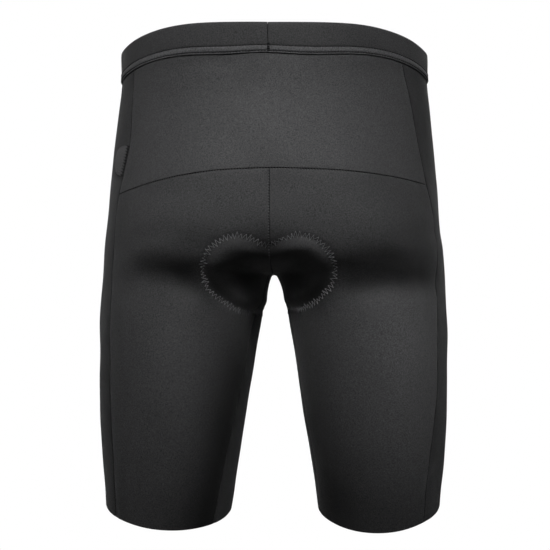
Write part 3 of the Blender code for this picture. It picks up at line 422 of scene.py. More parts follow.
# Studio: a faint even fill and soft lights
WHITE = (1.0, 1.0, 1.0, 1.0)
WORLD_FILL = 0.05
LIGHTS = (
    dict(name="front", place_at=(0.0, -1.06, 0.91), target=(0.0, -0.10, -0.02),
         width=0.4, height=0.4, power=0.684, spread=30),
    dict(name="left", place_at=(-1.25, -0.72, 0.24), target=(0.0, 0.0, -0.20),
         width=0.5, height=0.9, power=1.89),
    dict(name="left_edge", place_at=(-1.31, -0.16, 0.55), target=(0.0, 0.0, -0.20),
         width=0.5, height=0.9, power=2.01),
    dict(name="right_edge", place_at=(1.40, -0.17, 0.36), target=(0.0, 0.0, -0.20),
         width=0.5, height=0.9, power=2.6),
    dict(name="left_thigh", place_at=(-0.31, -1.17, 0.55), target=(-0.095, -0.08, -0.26),
         width=0.4, height=0.4, power=0.189, spread=20),
    dict(name="right_thigh", place_at=(0.78, -0.93, 0.55), target=(0.11, -0.08, -0.26),
         width=0.4, height=0.4, power=0.153, spread=20),
    dict(name="crotch", place_at=(-0.02, -1.20, -0.50), target=(-0.004, -0.05, -0.212),
         width=0.2, height=0.2, power=0.010, spread=8),
    dict(name="behind", place_at=(0.0, 1.56, 0.75), target=(0.0, 0.0, -0.20),
         width=1.6, height=1.0, power=5.31),
)

FLOOR_Z = -1.00          # the wearer's waist is a metre above the floor
FLOOR_RADIUS = 12.0
FLOOR_SIDES = 96
FLOOR_COLOUR = (0.25, 0.25, 0.25, 1.0)
FLOOR_ROUGHNESS = 0.9


class Smooth:
    """A natural cubic spline through the rows of a table."""

    def __init__(self, at, value):
        order = np.argsort(at)
        self.at = np.asarray(at, float)[order]
        self.value = np.asarray(value, float)[order]
        gap = np.diff(self.at)
        size = len(self.at)
        matrix = np.eye(size)
        right = np.zeros(size)
        for i in range(1, size - 1):
            matrix[i, i - 1:i + 2] = gap[i - 1], 2 * (gap[i - 1] + gap[i]), gap[i]
            rise = np.diff(self.value[i - 1:i + 2]) / gap[i - 1:i + 1]
            right[i] = 6 * (rise[1] - rise[0])
        self.bend = np.linalg.solve(matrix, right)

    def __call__(self, x):
        """Values of the curve at x, which is kept within the table."""
        x = np.clip(x, self.at[0], self.at[-1])
        i = np.clip(np.searchsorted(self.at, x) - 1, 0, len(self.at) - 2)
        gap = self.at[i + 1] - self.at[i]
        a = (self.at[i + 1] - x) / gap
        b = 1 - a
        bends = (a**3 - a) * self.bend[i] + (b**3 - b) * self.bend[i + 1]
        return a * self.value[i] + b * self.value[i + 1] + bends * gap**2 / 6


def columns(rows, key):
    """Each column of a table as a smooth curve over its key column."""
    return {name: Smooth(column(rows, key), column(rows, name)) for name in rows[0] if name != key}


SECTION = columns(SECTIONS, "z")
SIDE_SEAM = columns(SIDE_SEAMS, "z")
BAND_TOP_AT = columns(BAND_TOP, "turn")["z"]
BAND_DIP_AT = columns(BAND_DIPS, "x")["dip"]
BAND_OUT_AT = columns(BAND_PROFILE, "up")["out"]


def ease(x):
    """A soft step from 0 to 1 as x goes from 0 to 1."""
    x = np.clip(x, 0.0, 1.0)
    return x * x * (3 - 2 * x)


def unit(vectors):
    """Vectors brought to a length of 1."""
    return vectors / np.linalg.norm(vectors, axis=-1, keepdims=True)


def section(z):
    """Centre, half width, back and front depth, power and web of the right half at a height."""
    outer, inner = SECTION["outer"](z), SECTION["inner"](z)
    return ((outer + inner) / 2, (outer - inner) / 2, SECTION["back"](z), SECTION["front"](z),
            SECTION["power"](z), SECTION["web"](z))


def figure(points):
    """How far points lie outside the cloth, before folds: two halves, merged where they meet."""
    x, y, z = np.asarray(points, float).T
    centre, half, back, front, power, web = section(z)
    depth = np.where(y < 0, back, front)
    across = np.abs(y / depth)**power
    uneven = LEG_UNEVEN * ease((LEG_TOP_Z - z) / LEG_BLEND)
    wide, narrow = half * (1 + uneven), half * (1 - uneven)
    right = ((np.abs((x - centre) / narrow)**power + across)**(1 / power) - 1) * narrow
    left = ((np.abs((x + centre) / wide)**power + across)**(1 / power) - 1) * wide
    share = np.maximum(web - np.abs(right - left), 0) / web
    return np.minimum(right, left) - share**2 * web / 4


def slope(points):
    """Gradient of the figure."""
    found = np.zeros_like(points)
    for axis in range(3):
        move = np.zeros(3)
        move[axis] = STEP
        found[:, axis] = (figure(points + move) - figure(points - move)) / (2 * STEP)
    return found


def settle(points, rounds=SETTLE_ROUNDS):
    """Moves points onto the figure, straight across the cloth."""
    points = np.array(points, float).reshape(-1, 3)
    for _ in range(rounds):
        steep = slope(points)
        points -= steep * (figure(points) / (steep**2).sum(1))[:, None]
    return points


def outward(points):
    """Unit normals of the figure at points."""
    return unit(slope(points))


def signed_power(value, power):
    """A power of the size of values, with their sign."""
    return np.sign(value) * np.abs(value)**power


def to_turn(points, side, full_turn=False):
    """Turn in degrees, height and reach of points, about the centre of their half.

    A turn is from -180 to 180, or from 0 to 360 with full_turn.
    """
    x, y, z = np.asarray(points, float).reshape(-1, 3).T
    centre, half, back, front, power, _ = section(z)
    out = (side * x - centre) / half
    behind = -y / np.where(y < 0, back, front)
    reach = (np.abs(out)**power + np.abs(behind)**power)**(1 / power)
    turn = np.degrees(np.arctan2(signed_power(behind, power / 2), signed_power(out, power / 2)))
    if full_turn:
        turn %= 360
    return np.stack([turn, z, reach], axis=1)


def from_turn(turns, side):
    """The points that to_turn describes."""
    turn, z, reach = np.asarray(turns, float).reshape(-1, 3).T
    centre, half, back, front, power, _ = section(z)
    angle = np.radians(turn)
    out = signed_power(np.cos(angle), 2 / power) * reach
    behind = signed_power(np.sin(angle), 2 / power) * reach
    depth = np.where(behind > 0, back, front)
    return np.stack([side * (centre + half * out), -behind * depth, z], axis=1)


def place(turn, z, side):
    """Points of the figure at turns and heights."""
    turn, z = np.broadcast_arrays(np.asarray(turn, float), np.asarray(z, float))
    turns = np.stack([turn.ravel(), z.ravel(), np.ones(turn.size)], axis=1)
    return settle(from_turn(turns, side))


def walk(start, heading, length, step=WALK):
    """The points met when walking straight over the figure from each start, and the last ones."""
    here = settle(start)
    heading = np.array(heading, float).reshape(-1, 3) + np.zeros_like(here)
    count = max(2, int(math.ceil(np.max(length) / step)))
    stride = (np.zeros(len(here)) + length)[:, None] / count
    track = [here]
    for _ in range(count):
        up = outward(here)
        heading = unit(heading - up * (heading * up).sum(1)[:, None])
        here = settle(here + heading * stride, NEAR_ROUNDS)
        track.append(here)
    return np.array(track)


def lengths(path):
    """Length of a path from its start to each of its points."""
    return np.concatenate([[0], np.cumsum(np.linalg.norm(np.diff(path, axis=0), axis=1))])


def read_off(where, keys, path, **options):
    """Points of a path where its keys, one for each of its points, have some values."""
    return np.stack([np.interp(where, keys, values, **options) for values in np.transpose(path)], axis=1)


def along(path, shares):
    """Points at shares of a path's length."""
    length = lengths(path)
    return read_off(np.asarray(shares) * length[-1], length, path)


def waist_level(points, share):
    """Height of the waistband at points round it, from 0 at its lower seam to 1 at its top edge."""
    sides = np.stack([np.abs(points[:, 0]), points[:, 1], points[:, 2]], axis=1)
    turn = to_turn(sides, 1)[:, 0]
    turn = np.clip(np.where(turn > 180, turn - 360, turn), FRONT_TURN, BACK_TURN)
    out = points[:, 0] / WAIST_HALF
    dip = BAND_DIP_AT(points[:, 0]) * ease(-points[:, 1] / BAND_DIP_BACK)
    height = BAND_HEIGHT - BAND_SKEW * out + dip
    return BAND_TOP_AT(turn) - BAND_LEAN * out - height * (1 - share)


def waist_seam(turn, side, share=0.0):
    """Points on the seam under the waistband, or higher up on the band."""
    points = place(turn, 0.0, side)
    for _ in range(WAIST_ROUNDS):
        points = place(turn, waist_level(points, share), side)
    return points


def hem(turn, side):
    """Points on the hem of a leg."""
    angle = np.radians(np.asarray(turn, float))
    behind, inside = np.sin(angle), np.cos(angle)
    drop = np.where(behind > 0, HEM_BACK[HANDS[side]], -HEM_FRONT) * np.abs(behind)**HEM_POWER
    drop = drop + HEM_INSIDE[HANDS[side]] * (1 - inside) / 2
    return place(turn, HEM_Z - drop, side)


def yoke_height(x):
    """Height of the yoke seam at distances to the right of the middle."""
    out = x / YOKE_HALF
    return YOKE_BACK_Z - YOKE_DROP * np.abs(out)**YOKE_POWER + YOKE_SKEW * out * np.abs(out)


def on_yoke_seam(turn, side):
    """Points of the yoke seam at turns."""
    points = place(turn, YOKE_BACK_Z, side)
    for _ in range(YOKE_ROUNDS):
        points = place(turn, yoke_height(points[:, 0]), side)
    return points


def middle_turn(z):
    """Turn at which the right half meets the middle plane behind."""
    centre, half, _, _, power, _ = section(z)
    share = np.clip(centre / half, 0, 1)
    return np.degrees(np.arccos(-share**(power / 2)))


def middle_line():
    """The seam in the middle plane, from the waist at the back, under the crotch, to the front."""
    start = waist_seam(np.array([BACK_TURN]), 1)
    start[:, 0] = 0
    start = settle(start)
    track = walk(start, MIDDLE_HEADING, MIDDLE_LENGTH)[:, 0]
    track[:, 0] = 0
    front = waist_seam(np.array([FRONT_TURN]), 1)[0]
    past = np.where((track[:, 1] > 0) & (track[:, 2] > front[2]))[0]
    return track[:past[0] + 1]


class Seams:
    """Every seam line as points on the figure, worked out once."""

    def __init__(self):
        line = middle_line()
        low = int(np.argmin(line[:, 2]))
        edge = int(round(CROTCH_EDGE / 2 / WALK))
        self.middle, self.low = line, low
        self.crotch = line[low - edge:low + edge + 1]
        yoke = int(np.argmin(np.abs(line[:, 2] - YOKE_BACK_Z) + (line[:, 1] > 0)))
        self.yoke_middle = settle(line[yoke])[0]
        self.back = line[yoke:low - edge + 1]
        self.front = line[low + edge:]
        self.side, self.corner, self.thigh = {}, {}, {}
        ends = [(name, side) for name in FACES for side in HANDS]
        for name, side in ends:
            self.add_side(name, side)
        self.inner = {(name, side): self.inner_line(name, side) for name, side in ends}
        self.yoke = {side: self.yoke_line(side) for side in HANDS}
        self.whole_yoke = np.concatenate([self.yoke[-1][:0:-1], self.yoke[1]])
        self.waist = {side: self.waist_line(side) for side in HANDS}

    def add_side(self, name, side):
        """Points down a side seam, and which of them meets the yoke seam and the crotch's height."""
        curve = SIDE_SEAM[f"{name}_{HANDS[side]}"]
        top = waist_seam(curve(-BAND_HEIGHT / 2), side)[0]
        end = hem(curve(HEM_Z), side)[0]
        z = np.linspace(top[2], end[2], LINE_POINTS)
        line = place(curve(z), z, side)
        line[0], line[-1] = top, end
        self.side[name, side] = line
        self.corner[name, side] = int(np.argmin(np.abs(line[:, 2] - yoke_height(line[:, 0]))))
        self.thigh[name, side] = int(np.argmin(np.abs(line[:, 2] - self.crotch[0][2])))

    def inner_line(self, name, side):
        """Points down an inner leg seam from the end of the crotch edge."""
        start = self.crotch[0 if name == "back" else -1]
        first = to_turn(start, side, full_turn=True)[0]
        curve = Smooth([start[2] - INNER_TOP, *column(INNER_SEAMS, "z")],
                       [first[0], *column(INNER_SEAMS, f"{name}_{HANDS[side]}")])
        end = hem(curve(HEM_Z), side)[0]
        share = np.linspace(0, 1, LINE_POINTS)
        z = start[2] + (end[2] - start[2]) * share**INNER_CROWD
        reach = 1 + (first[2] - 1) * np.exp(-INNER_SETTLE * share)
        line = settle(from_turn(np.stack([curve(z), z, reach], axis=1), side))
        line[0], line[-1] = start, end
        return line

    def yoke_line(self, side):
        """Points along the yoke seam, from the centre back out to the side seam."""
        end = self.side["back", side][self.corner["back", side]]
        turns = np.linspace(middle_turn(self.yoke_middle[2]), to_turn(end, side)[0, 0], LINE_POINTS)
        line = on_yoke_seam(turns, side)
        line[-1] = end
        line[0, 0] = 0
        return settle(line)

    def waist_line(self, side):
        """Points along the seam under the waistband, from the centre back to the centre front."""
        line = waist_seam(np.linspace(BACK_TURN, FRONT_TURN, 2 * LINE_POINTS), side)
        line[0, 0] = line[-1, 0] = 0
        return settle(line)

    def waist_part(self, start, end, side):
        """The stretch of that line between the turns of two points, ending at the points."""
        line = self.waist[side]
        first, last = (int(np.argmin(((line - point)**2).sum(1))) for point in (start, end))
        found = line[first:last + 1].copy()
        found[0], found[-1] = start, end
        return found

    def hem_part(self, start, end, side, full_turn=False):
        """The stretch of a hem between two points, ending at the points."""
        ends = to_turn(np.array([start, end]), side, full_turn)[:, 0]
        line = hem(np.linspace(*ends, LINE_POINTS), side)
        line[0], line[-1] = start, end
        return line


class Pad:
    """The pad's outline on the cloth, and its points."""

    def __init__(self, seams):
        self.line = seams.middle
        self.low_arc = seams.low * WALK
        turns, reaches = column(PAD_OUTLINE, "turn"), column(PAD_OUTLINE, "reach")
        mirrored = [-t for t in turns[1:4]] + turns + [360 - t for t in turns[-4:-1][::-1]]
        values = reaches[1:4] + reaches + reaches[-4:-1][::-1]
        self.curve = Smooth(mirrored, values)
        turn = np.linspace(-180, 180, OUTLINE_POINTS, endpoint=False)
        self.outline = self.polar(turn, 1.0)
        ahead = np.roll(self.outline, -1, axis=0) - np.roll(self.outline, 1, axis=0)
        self.inward = unit(np.cross(outward(self.outline), ahead))
        towards = self.polar(turn, OUTLINE_INSIDE) - self.outline
        self.inward *= np.sign((self.inward * towards).sum(1))[:, None]
        left, right = (np.interp(np.abs(turn), column(PAD_LIFTS, "turn"), column(PAD_LIFTS, name))
                       for name in ("left", "right"))
        self.lift = np.where(turn < 0, left, right)

    def reach(self, turn):
        """Distance of the outline from the lowest point of the crotch, over the cloth."""
        folded = np.abs((np.asarray(turn, float) + 180) % 360 - 180)
        return self.curve(folded)

    def at(self, back, side_way):
        """Points of the figure that far back along the middle line and then that far to the side."""
        back, side_way = np.broadcast_arrays(np.asarray(back, float), np.asarray(side_way, float))
        shape = back.shape
        arc = (self.low_arc - back.ravel()) / WALK
        start = read_off(arc, np.arange(len(self.line)), self.line)
        hand = np.where(side_way.ravel() < 0, -1.0, 1.0)[:, None]
        track = walk(start, np.array([1.0, 0, 0]) * hand, np.abs(side_way.ravel()), COARSE_WALK)
        return track[-1].reshape(*shape, 3)

    def polar(self, turn, share):
        """Points of the figure at turns about the lowest point, out to a share of the outline."""
        angle = np.radians(turn)
        reach = self.reach(turn) * share
        return self.at(reach * np.cos(angle), reach * np.sin(angle) * PAD_NARROW + PAD_ASIDE)

    def inside(self, points):
        """How far points lie inside the outline, negative outside it, and the share of lift there."""
        found = np.full(len(points), -1.0)
        lift = np.zeros(len(points))
        low, high = self.outline.min(0) - OUTLINE_MARGIN, self.outline.max(0) + OUTLINE_MARGIN
        near = np.where(((points > low) & (points < high)).all(1))[0]
        for first in range(0, len(near), OUTLINE_BLOCK):
            some = near[first:first + OUTLINE_BLOCK]
            away = points[some, None] - self.outline[None]
            best = (away**2).sum(2).argmin(1)
            found[some] = (away[np.arange(len(some)), best] * self.inward[best]).sum(1)
            lift[some] = self.lift[best]
        start, full = PAD_LIFT_INSIDE
        return found, lift + (1 - lift) * ease((found - start) / (full - start))


def trough_depth(points):
    """How far the cloth sinks in at points, in the soft troughs under the seat."""
    x, y, z = points.T
    sunk = np.zeros(len(points))
    for fold in TROUGHS:
        run = np.array([fold["x1"] - fold["x0"], fold["z1"] - fold["z0"]])
        length = np.hypot(*run)
        run /= length
        dx, dz = x - fold["x0"], z - fold["z0"]
        forward = dx * run[0] + dz * run[1]
        aside = dz * run[0] - dx * run[1]
        aside = aside / np.where(aside > 0, fold["above"], fold["below"])
        past = np.maximum(np.maximum(-forward, forward - length), 0) / TROUGH_FADE
        sunk += fold["depth"] * np.exp(-aside**2 - past**2)
    return sunk * ease(-y / TROUGH_BACK)


def fold_depth(points):
    """How far the cloth sinks in at points, in the listed folds."""
    flat = points[:, [0, 2]]
    sunk = np.zeros(len(points))
    for fold in FOLDS:
        line = np.array(fold["line"])
        facing = -1.0 if fold["face"] == "back" else 1.0
        best, past = np.full(len(points), np.inf), np.zeros(len(points))
        for index, (a, b) in enumerate(zip(line[:-1], line[1:])):
            run = b - a
            along_it = (flat - a) @ run / (run @ run)
            near = a + np.clip(along_it, 0, 1)[:, None] * run
            away = np.linalg.norm(flat - near, axis=1)
            beyond = np.zeros(len(points))
            if index == 0:
                beyond = np.maximum(beyond, -along_it)
            if index == len(line) - 2:
                beyond = np.maximum(beyond, along_it - 1)
            beyond = np.maximum(beyond, 0) * np.linalg.norm(run)
            aside = np.sqrt(np.maximum(away**2 - beyond**2, 0))
            closer = away < best
            best = np.where(closer, away, best)
            past = np.where(closer, beyond, past)
            aside_best = aside if index == 0 else np.where(closer, aside, aside_best)
        shape = np.exp(-(aside_best / fold["half_width"])**2 - (past / FOLD_FADE)**2)
        sunk += fold["depth"] * shape * ease(facing * points[:, 1] / FOLD_BACK)
    return sunk


def waves(points, size, seed):
    """Gentle unevenness of about 1 either way, in bumps of about a size."""
    draw = np.random.default_rng(seed)
    total = np.zeros(len(points))
    for _ in range(WAVES):
        heading = unit(draw.normal(size=3))
        length = size * draw.uniform(*WAVE_SIZES)
        total += np.sin(points @ heading * (2 * math.pi / length) + draw.uniform(0, 2 * math.pi))
    return total / math.sqrt(WAVES)


def relief(points, pad):
    """How far the cloth stands out from the figure at points, and how far they are inside the pad."""
    inside, lift = pad.inside(points)
    raised = PAD_LIFT * lift * ease(inside / PAD_RAMP) - trough_depth(points) - fold_depth(points)
    raised -= PAD_GROOVE * np.exp(-(inside / PAD_GROOVE_WIDTH)**2)
    for bumps in UNEVEN:
        raised += bumps["height"] * waves(points, bumps["size"], bumps["seed"])
    return raised, inside


def laid(points, pad, proud=0.0):
    """Points of the figure moved onto the cloth, or proud of it, and their normals."""
    shape = points.shape
    points = settle(points, LAID_ROUNDS)
    normals = outward(points)
    moved = points + normals * (relief(points, pad)[0] + proud)[:, None]
    return moved.reshape(shape), normals.reshape(shape)


def fractions(length, spacing, start=True, end=True):
    """Shares across a panel, close together where it rolls under at its edges."""
    steps = np.array(EDGE_STEPS) / length
    first = steps if start else np.zeros(1)
    last = 1 - steps[::-1] if end else np.ones(1)
    count = max(2, round((last[0] - first[-1]) * length / spacing))
    return np.concatenate([first, np.linspace(first[-1], last[0], count + 1)[1:-1], last])


def patch(top, bottom, start, end, over, side, full_turn=False):
    """A grid of points on the figure between four edges, rows from top to bottom."""
    rows, cols = len(start), len(over)
    down = lengths(start)
    down = (np.linspace(0, 1, rows) if down[-1] == 0 else down / down[-1])[:, None, None]
    top, bottom, start, end = (to_turn(points, side, full_turn)
                               for points in (along(top, over), along(bottom, over), start, end))
    over = over[None, :, None]
    ruled = (1 - over) * start[:, None] + over * end[:, None]
    lofted = (1 - down) * top[None] + down * bottom[None]
    corners = ((1 - down) * ((1 - over) * top[0] + over * top[-1])
               + down * ((1 - over) * bottom[0] + over * bottom[-1]))
    grid = ruled + lofted - corners
    return settle(from_turn(grid.reshape(-1, 3), side)).reshape(rows, cols, 3)


def pull_in(grid, gap, edges):
    """Moves the chosen edges of a grid back from the seam by a gap."""
    moved = grid.copy()
    for edge, rim, inside in (("t", np.s_[0], np.s_[1]), ("b", np.s_[-1], np.s_[-2]),
                              ("s", np.s_[:, 0], np.s_[:, 1]), ("e", np.s_[:, -1], np.s_[:, -2])):
        if edge not in edges:
            continue
        tangent = unit(np.gradient(moved[rim], axis=0))
        inward = grid[inside] - grid[rim]
        inward = unit(inward - tangent * (inward * tangent).sum(1)[:, None])
        moved[rim] = moved[rim] + inward * gap
    return moved


def edge_distances(grid):
    """Distances of a grid's points from its start, end, top and bottom edges."""
    across = np.linalg.norm(np.diff(grid, axis=1), axis=2)
    across = np.concatenate([np.zeros((len(grid), 1)), np.cumsum(across, axis=1)], axis=1)
    down = np.linalg.norm(np.diff(grid, axis=0), axis=2)
    down = np.concatenate([np.zeros((1, grid.shape[1])), np.cumsum(down, axis=0)], axis=0)
    return dict(s=across, e=across[:, -1:] - across, t=down, b=down[-1:] - down)


def rolled(distance, radius):
    """How far a rounded edge has dropped at distances from its rim."""
    left = np.clip(radius - distance, 0, radius)
    return radius - np.sqrt(np.maximum(radius**2 - left**2, 0))


def shell_faces(rows, cols, ring):
    """Quads of a closed shell between an outer and an inner grid of points."""
    outer = np.arange(rows * cols).reshape(rows, cols)
    if ring:
        outer = np.concatenate([outer, outer[:, :1]], axis=1)
    inner = outer + rows * cols

    def quads(sheet):
        """Quads between the points of one grid."""
        return np.stack([sheet[:-1, :-1], sheet[1:, :-1], sheet[1:, 1:], sheet[:-1, 1:]], -1)

    faces = [quads(outer), quads(inner)[..., ::-1]]
    faces.append(np.stack([outer[0, 1:], inner[0, 1:], inner[0, :-1], outer[0, :-1]], -1))
    faces.append(np.stack([outer[-1, :-1], inner[-1, :-1], inner[-1, 1:], outer[-1, 1:]], -1))
    if not ring:
        faces.append(np.stack([outer[:-1, 0], inner[:-1, 0], inner[1:, 0], outer[1:, 0]], -1))
        faces.append(np.stack([outer[1:, -1], inner[1:, -1], inner[:-1, -1], outer[:-1, -1]], -1))
    return np.concatenate([f.reshape(-1, 4) for f in faces])


def as_object(name, points, faces, finish, uv=None, values=None, crease=CREASE):
    """A piece from points and faces, facing out, with its cloth coordinates and values."""
    data = bpy.data.meshes.new(name)
    data.from_pydata(points.tolist(), [], faces)
    corners = np.empty(len(data.loops), int)
    data.loops.foreach_get("vertex_index", corners)
    if uv is not None:
        data.uv_layers.new(name="cloth").uv.foreach_set("vector", uv[corners].ravel())
    for key, value in (values or {}).items():
        data.attributes.new(key, "FLOAT", "POINT").data.foreach_set("value", value)
    data.shade_smooth()
    data.set_sharp_from_angle(angle=math.radians(crease))
    data.materials.append(finish)
    made = bpy.data.objects.new(name, data)
    bpy.context.scene.collection.objects.link(made)
    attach(made, "root")
    return made


def shell(name, outer, inner, normals, uv, values, finish, ring=False):
    """One closed thin shell between two grids of points."""
    rows, cols = outer.shape[:2]
    faces = shell_faces(rows, cols, ring)
    middle = (rows // 2, cols // 2)
    here = outer[middle]
    facing = np.cross(outer[middle[0] + 1, middle[1]] - here, outer[middle[0], middle[1] + 1] - here)
    if facing @ normals[middle] < 0:
        faces = faces[:, ::-1]
    points = np.concatenate([outer.reshape(-1, 3), inner.reshape(-1, 3)])
    uv = np.concatenate([uv.reshape(-1, 2)] * 2)
    values = {key: np.concatenate([value.ravel()] * 2) for key, value in values.items()}
    return as_object(name, points, faces.tolist(), finish, uv, values)


def cloth_panel(node, grid, pad, finish, edges="tse"):
    """A panel of stretch cloth in place of a node, rolled under at its seams and rounded at its hem."""
    grid = pull_in(grid, SEAM_GAP / 2, edges)
    away = edge_distances(grid)
    flat = grid.reshape(-1, 3)
    normals = outward(flat).reshape(grid.shape)
    raised, inside = (found.reshape(grid.shape[:2]) for found in relief(flat, pad))
    seam = np.minimum.reduce([away[edge] for edge in edges])
    puckers = waves(flat, PUCKER_SIZE, PUCKER_SEED).reshape(seam.shape)
    puckers = PUCKER * np.exp(-(seam / PUCKER_WIDTH)**2) * puckers
    pulled = PULL * np.exp(-(seam / PULL_WIDTH)**2)
    under = np.maximum.reduce([rolled(away[edge], ROLL) for edge in edges])
    hem_round = np.zeros_like(under)
    if "b" not in edges:
        hem_round = rolled(away["b"], WALL / 2)
        under = np.maximum(under, hem_round)
    outer = grid + normals * (raised + puckers - pulled - under)[..., None]
    inner = grid + normals * (raised - WALL + hem_round)[..., None]
    uv = np.stack([away["s"], np.broadcast_to(away["t"].mean(1)[:, None], seam.shape)], -1)
    # The points carry their painted light and shade, the painted shade over the pad and their distance from
    # the seams
    values = dict(tone=tone(flat, node, away["s"].ravel()), ink=ink(flat, inside.ravel()),
                  seam=seam.ravel())
    made = shell(f"cloth_{node}", outer, inner, normals, uv, values, finish)
    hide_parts(node)
    return made


def ink(points, inside):
    """How far the cloth is darkened with painted shade at points over the pad, from 0 to 1."""
    x, y, z = points.T
    line = np.interp(x, *np.transpose(PAD_SHADE_LINE))
    below = np.where(y > 0, 1.0, ease((line - z) / PAD_SHADE_SOFT))
    return ease((inside - PAD_SHADE_INSIDE) / PAD_SHADE_WIDTH) * below


def painted_light_spots(points, node):
    """Share of the full colour at points of a node, in the broad soft spots of painted light and shade."""
    x, y, z = points.T
    share = np.ones(len(points))
    for spot in PAINTED_LIGHT_SPOTS:
        if node.startswith(spot["on"]):
            away = ((x - spot["x"]) / spot["wide"])**2 + ((z - spot["z"]) / spot["high"])**2
            share += (spot["share"] - 1) * np.exp(-away)
    back = ease(-y / TROUGH_BACK)
    return share * back + 1 - back


def tone(points, node, seam):
    """Share of the cloth's full colour at points of a node, that far from its first seam: its painted light
    and shade.
    """
    # Painted light spots, less painted shade in the troughs
    share = painted_light_spots(points, node) - TROUGH_SHADE * trough_depth(points) / TROUGHS[0]["depth"]
    # Painted shade along the inner leg seam, growing down the leg
    if node.startswith("seat"):
        dark = LEG_SHADES[node.split("_")[1]]
        lower = ease((dark["top"] - points[:, 2]) / (dark["top"] - dark["full"]))
        share *= 1 - dark["share"] * np.exp(-(seam / dark["width"])**2) * lower
    return np.clip(share, *PAINTED_LIGHT_LIMITS)


def make_yoke(seams, pad, finish):
    """The panel across the back, from the waistband down to the yoke seam."""
    halves = []
    down = fractions(YOKE_DEPTH, SPACING)
    for side in HANDS:
        line = seams.side["back", side][:seams.corner["back", side] + 1]
        top = seams.waist_part(seams.waist[side][0], line[0], side)
        low = seams.yoke[side]
        z = np.linspace(top[0, 2], low[0, 2], LINE_POINTS)
        middle = place(middle_turn(z), z, side)
        middle[:, 0] = 0
        middle = settle(middle)
        middle[0], middle[-1] = top[0], low[0]
        over = fractions(lengths(low)[-1], SPACING, start=False)
        halves.append(patch(top, low, along(middle, down), along(line, down), over, side))
    right, left = halves
    grid = np.concatenate([left[:, ::-1], right[:, 1:]], axis=1)
    return cloth_panel("yoke_back", grid, pad, finish, "tbse")


def make_leg(seams, pad, face, side, finish):
    """The back or front of one leg with its half of the seat or belly, down to the hem."""
    line, thigh = seams.side[face, side], seams.thigh[face, side]
    if face == "back":
        node, spacing, first = "seat", SPACING, seams.corner[face, side]
        top, middle = seams.yoke[side], seams.back
    else:
        node, spacing, first = "front", SPACING_PLAIN, 0
        top = seams.waist_part(line[0], seams.waist[side][-1], side)[::-1]
        middle = seams.front[::-1]
    upper, lower = line[first:thigh + 1], line[thigh:]
    above = fractions(lengths(upper)[-1], spacing, end=False)
    below = fractions(lengths(lower)[-1], spacing, start=False)[1:]
    outer = np.concatenate([along(upper, above), along(lower, below)])
    inner = np.concatenate([along(middle, above), along(seams.inner[face, side], below)])
    inner[0] = top[0]
    low = seams.hem_part(inner[-1], outer[-1], side)
    grid = patch(top, low, inner, outer, fractions(lengths(low)[-1], spacing), side)
    return cloth_panel(f"{node}_{HANDS[side]}", grid, pad, finish)


def make_side(seams, pad, side, finish):
    """The long panel down the side, from the waistband to the hem."""
    back, front = seams.side["back", side], seams.side["front", side]
    top = seams.waist_part(back[0], front[0], side)
    low = seams.hem_part(back[-1], front[-1], side)
    down = fractions(lengths(back)[-1], SPACING_PLAIN)
    over = fractions(lengths(low)[-1], SPACING_PLAIN)
    grid = patch(top, low, along(back, down), along(front, down), over, side)
    return cloth_panel(f"side_{HANDS[side]}", grid, pad, finish)


def make_inner(seams, pad, side, finish):
    """The panel down the inner leg, from the crotch to the hem."""
    back, front = seams.inner["back", side], seams.inner["front", side]
    low = seams.hem_part(back[-1], front[-1], side, full_turn=True)
    down = fractions(lengths(back)[-1], SPACING)
    over = fractions(lengths(low)[-1], SPACING)
    grid = patch(seams.crotch, low, along(back, down), along(front, down), over, side, full_turn=True)
    return cloth_panel(f"inner_leg_{HANDS[side]}", grid, pad, finish)


class Band:
    """The waistband as rings of points on the figure, cut open at its seam."""

    def __init__(self):
        self.turns = np.linspace(BACK_TURN, FRONT_TURN, 2 * LINE_POINTS)
        self.rings = {}

    def ring(self, up):
        """The closed line round the band at a height above its lower edge, from the middle back."""
        if up not in self.rings:
            halves = []
            for side in HANDS:
                half = waist_seam(self.turns, side, up / BAND_HEIGHT)
                half[0, 0] = half[-1, 0] = 0
                halves.append(half)
            self.rings[up] = np.concatenate([halves[0], halves[1][-2::-1]])
        return self.rings[up]

    def points(self, up, arcs):
        """Points of that line at distances round it, to the right of the middle back."""
        ring = self.ring(up)
        length = lengths(ring)[-1]
        return settle(along(ring, np.mod(arcs, length) / length), NEAR_ROUNDS)

    def length(self, up=0.0):
        """Length of that line."""
        return lengths(self.ring(up))[-1]


def make_band(band, pad, finish):
    """One band sewn into a ring near the centre back, with its covered seam and its folded top."""
    length = band.length()
    shares = fractions(length, BAND_SPACING)
    arcs = BAND_SEAM_ARC + SEAM_GAP / 2 + shares * (length - SEAM_GAP)
    from_seam = np.minimum(shares, 1 - shares) * length
    under = rolled(from_seam, ROLL)
    outer, inner, all_normals, uv, seam = [], [], [], [], []
    for level in BAND_PROFILE:
        ring_length = band.length(level["up"])
        points = band.points(level["up"], arcs * ring_length / length)
        face, normals = laid(points, pad, BAND_PROUD)
        outer.append(face + normals * (level["out"] - under)[:, None])
        inner.append(face + normals * level["back"])
        if level["up"] == 0:
            for rows in (outer, inner):
                rows[-1][:, 2] += SEAM_GAP / 2
        all_normals.append(normals)
        uv.append(np.stack([shares * length, np.full_like(shares, level["up"])], -1))
        seam.append(from_seam)
    grids = [np.array(rows) for rows in (outer, inner, all_normals, uv)]
    flat = grids[0].reshape(-1, 3)
    # Painted highlights on the rolled edge and the ridge, painted shade at the stitch rows, and the painted
    # light spots
    shares_up = np.interp(column(BAND_PROFILE, "up"), *np.transpose(BAND_PAINTED_LIGHT))
    shade = np.repeat(shares_up, len(shares)) * painted_light_spots(flat, "waistband")
    values = dict(tone=shade, ink=np.zeros(len(flat)), seam=np.array(seam).ravel())
    made = shell("waistband_cloth", *grids, values, finish)
    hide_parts("waistband")
    return made


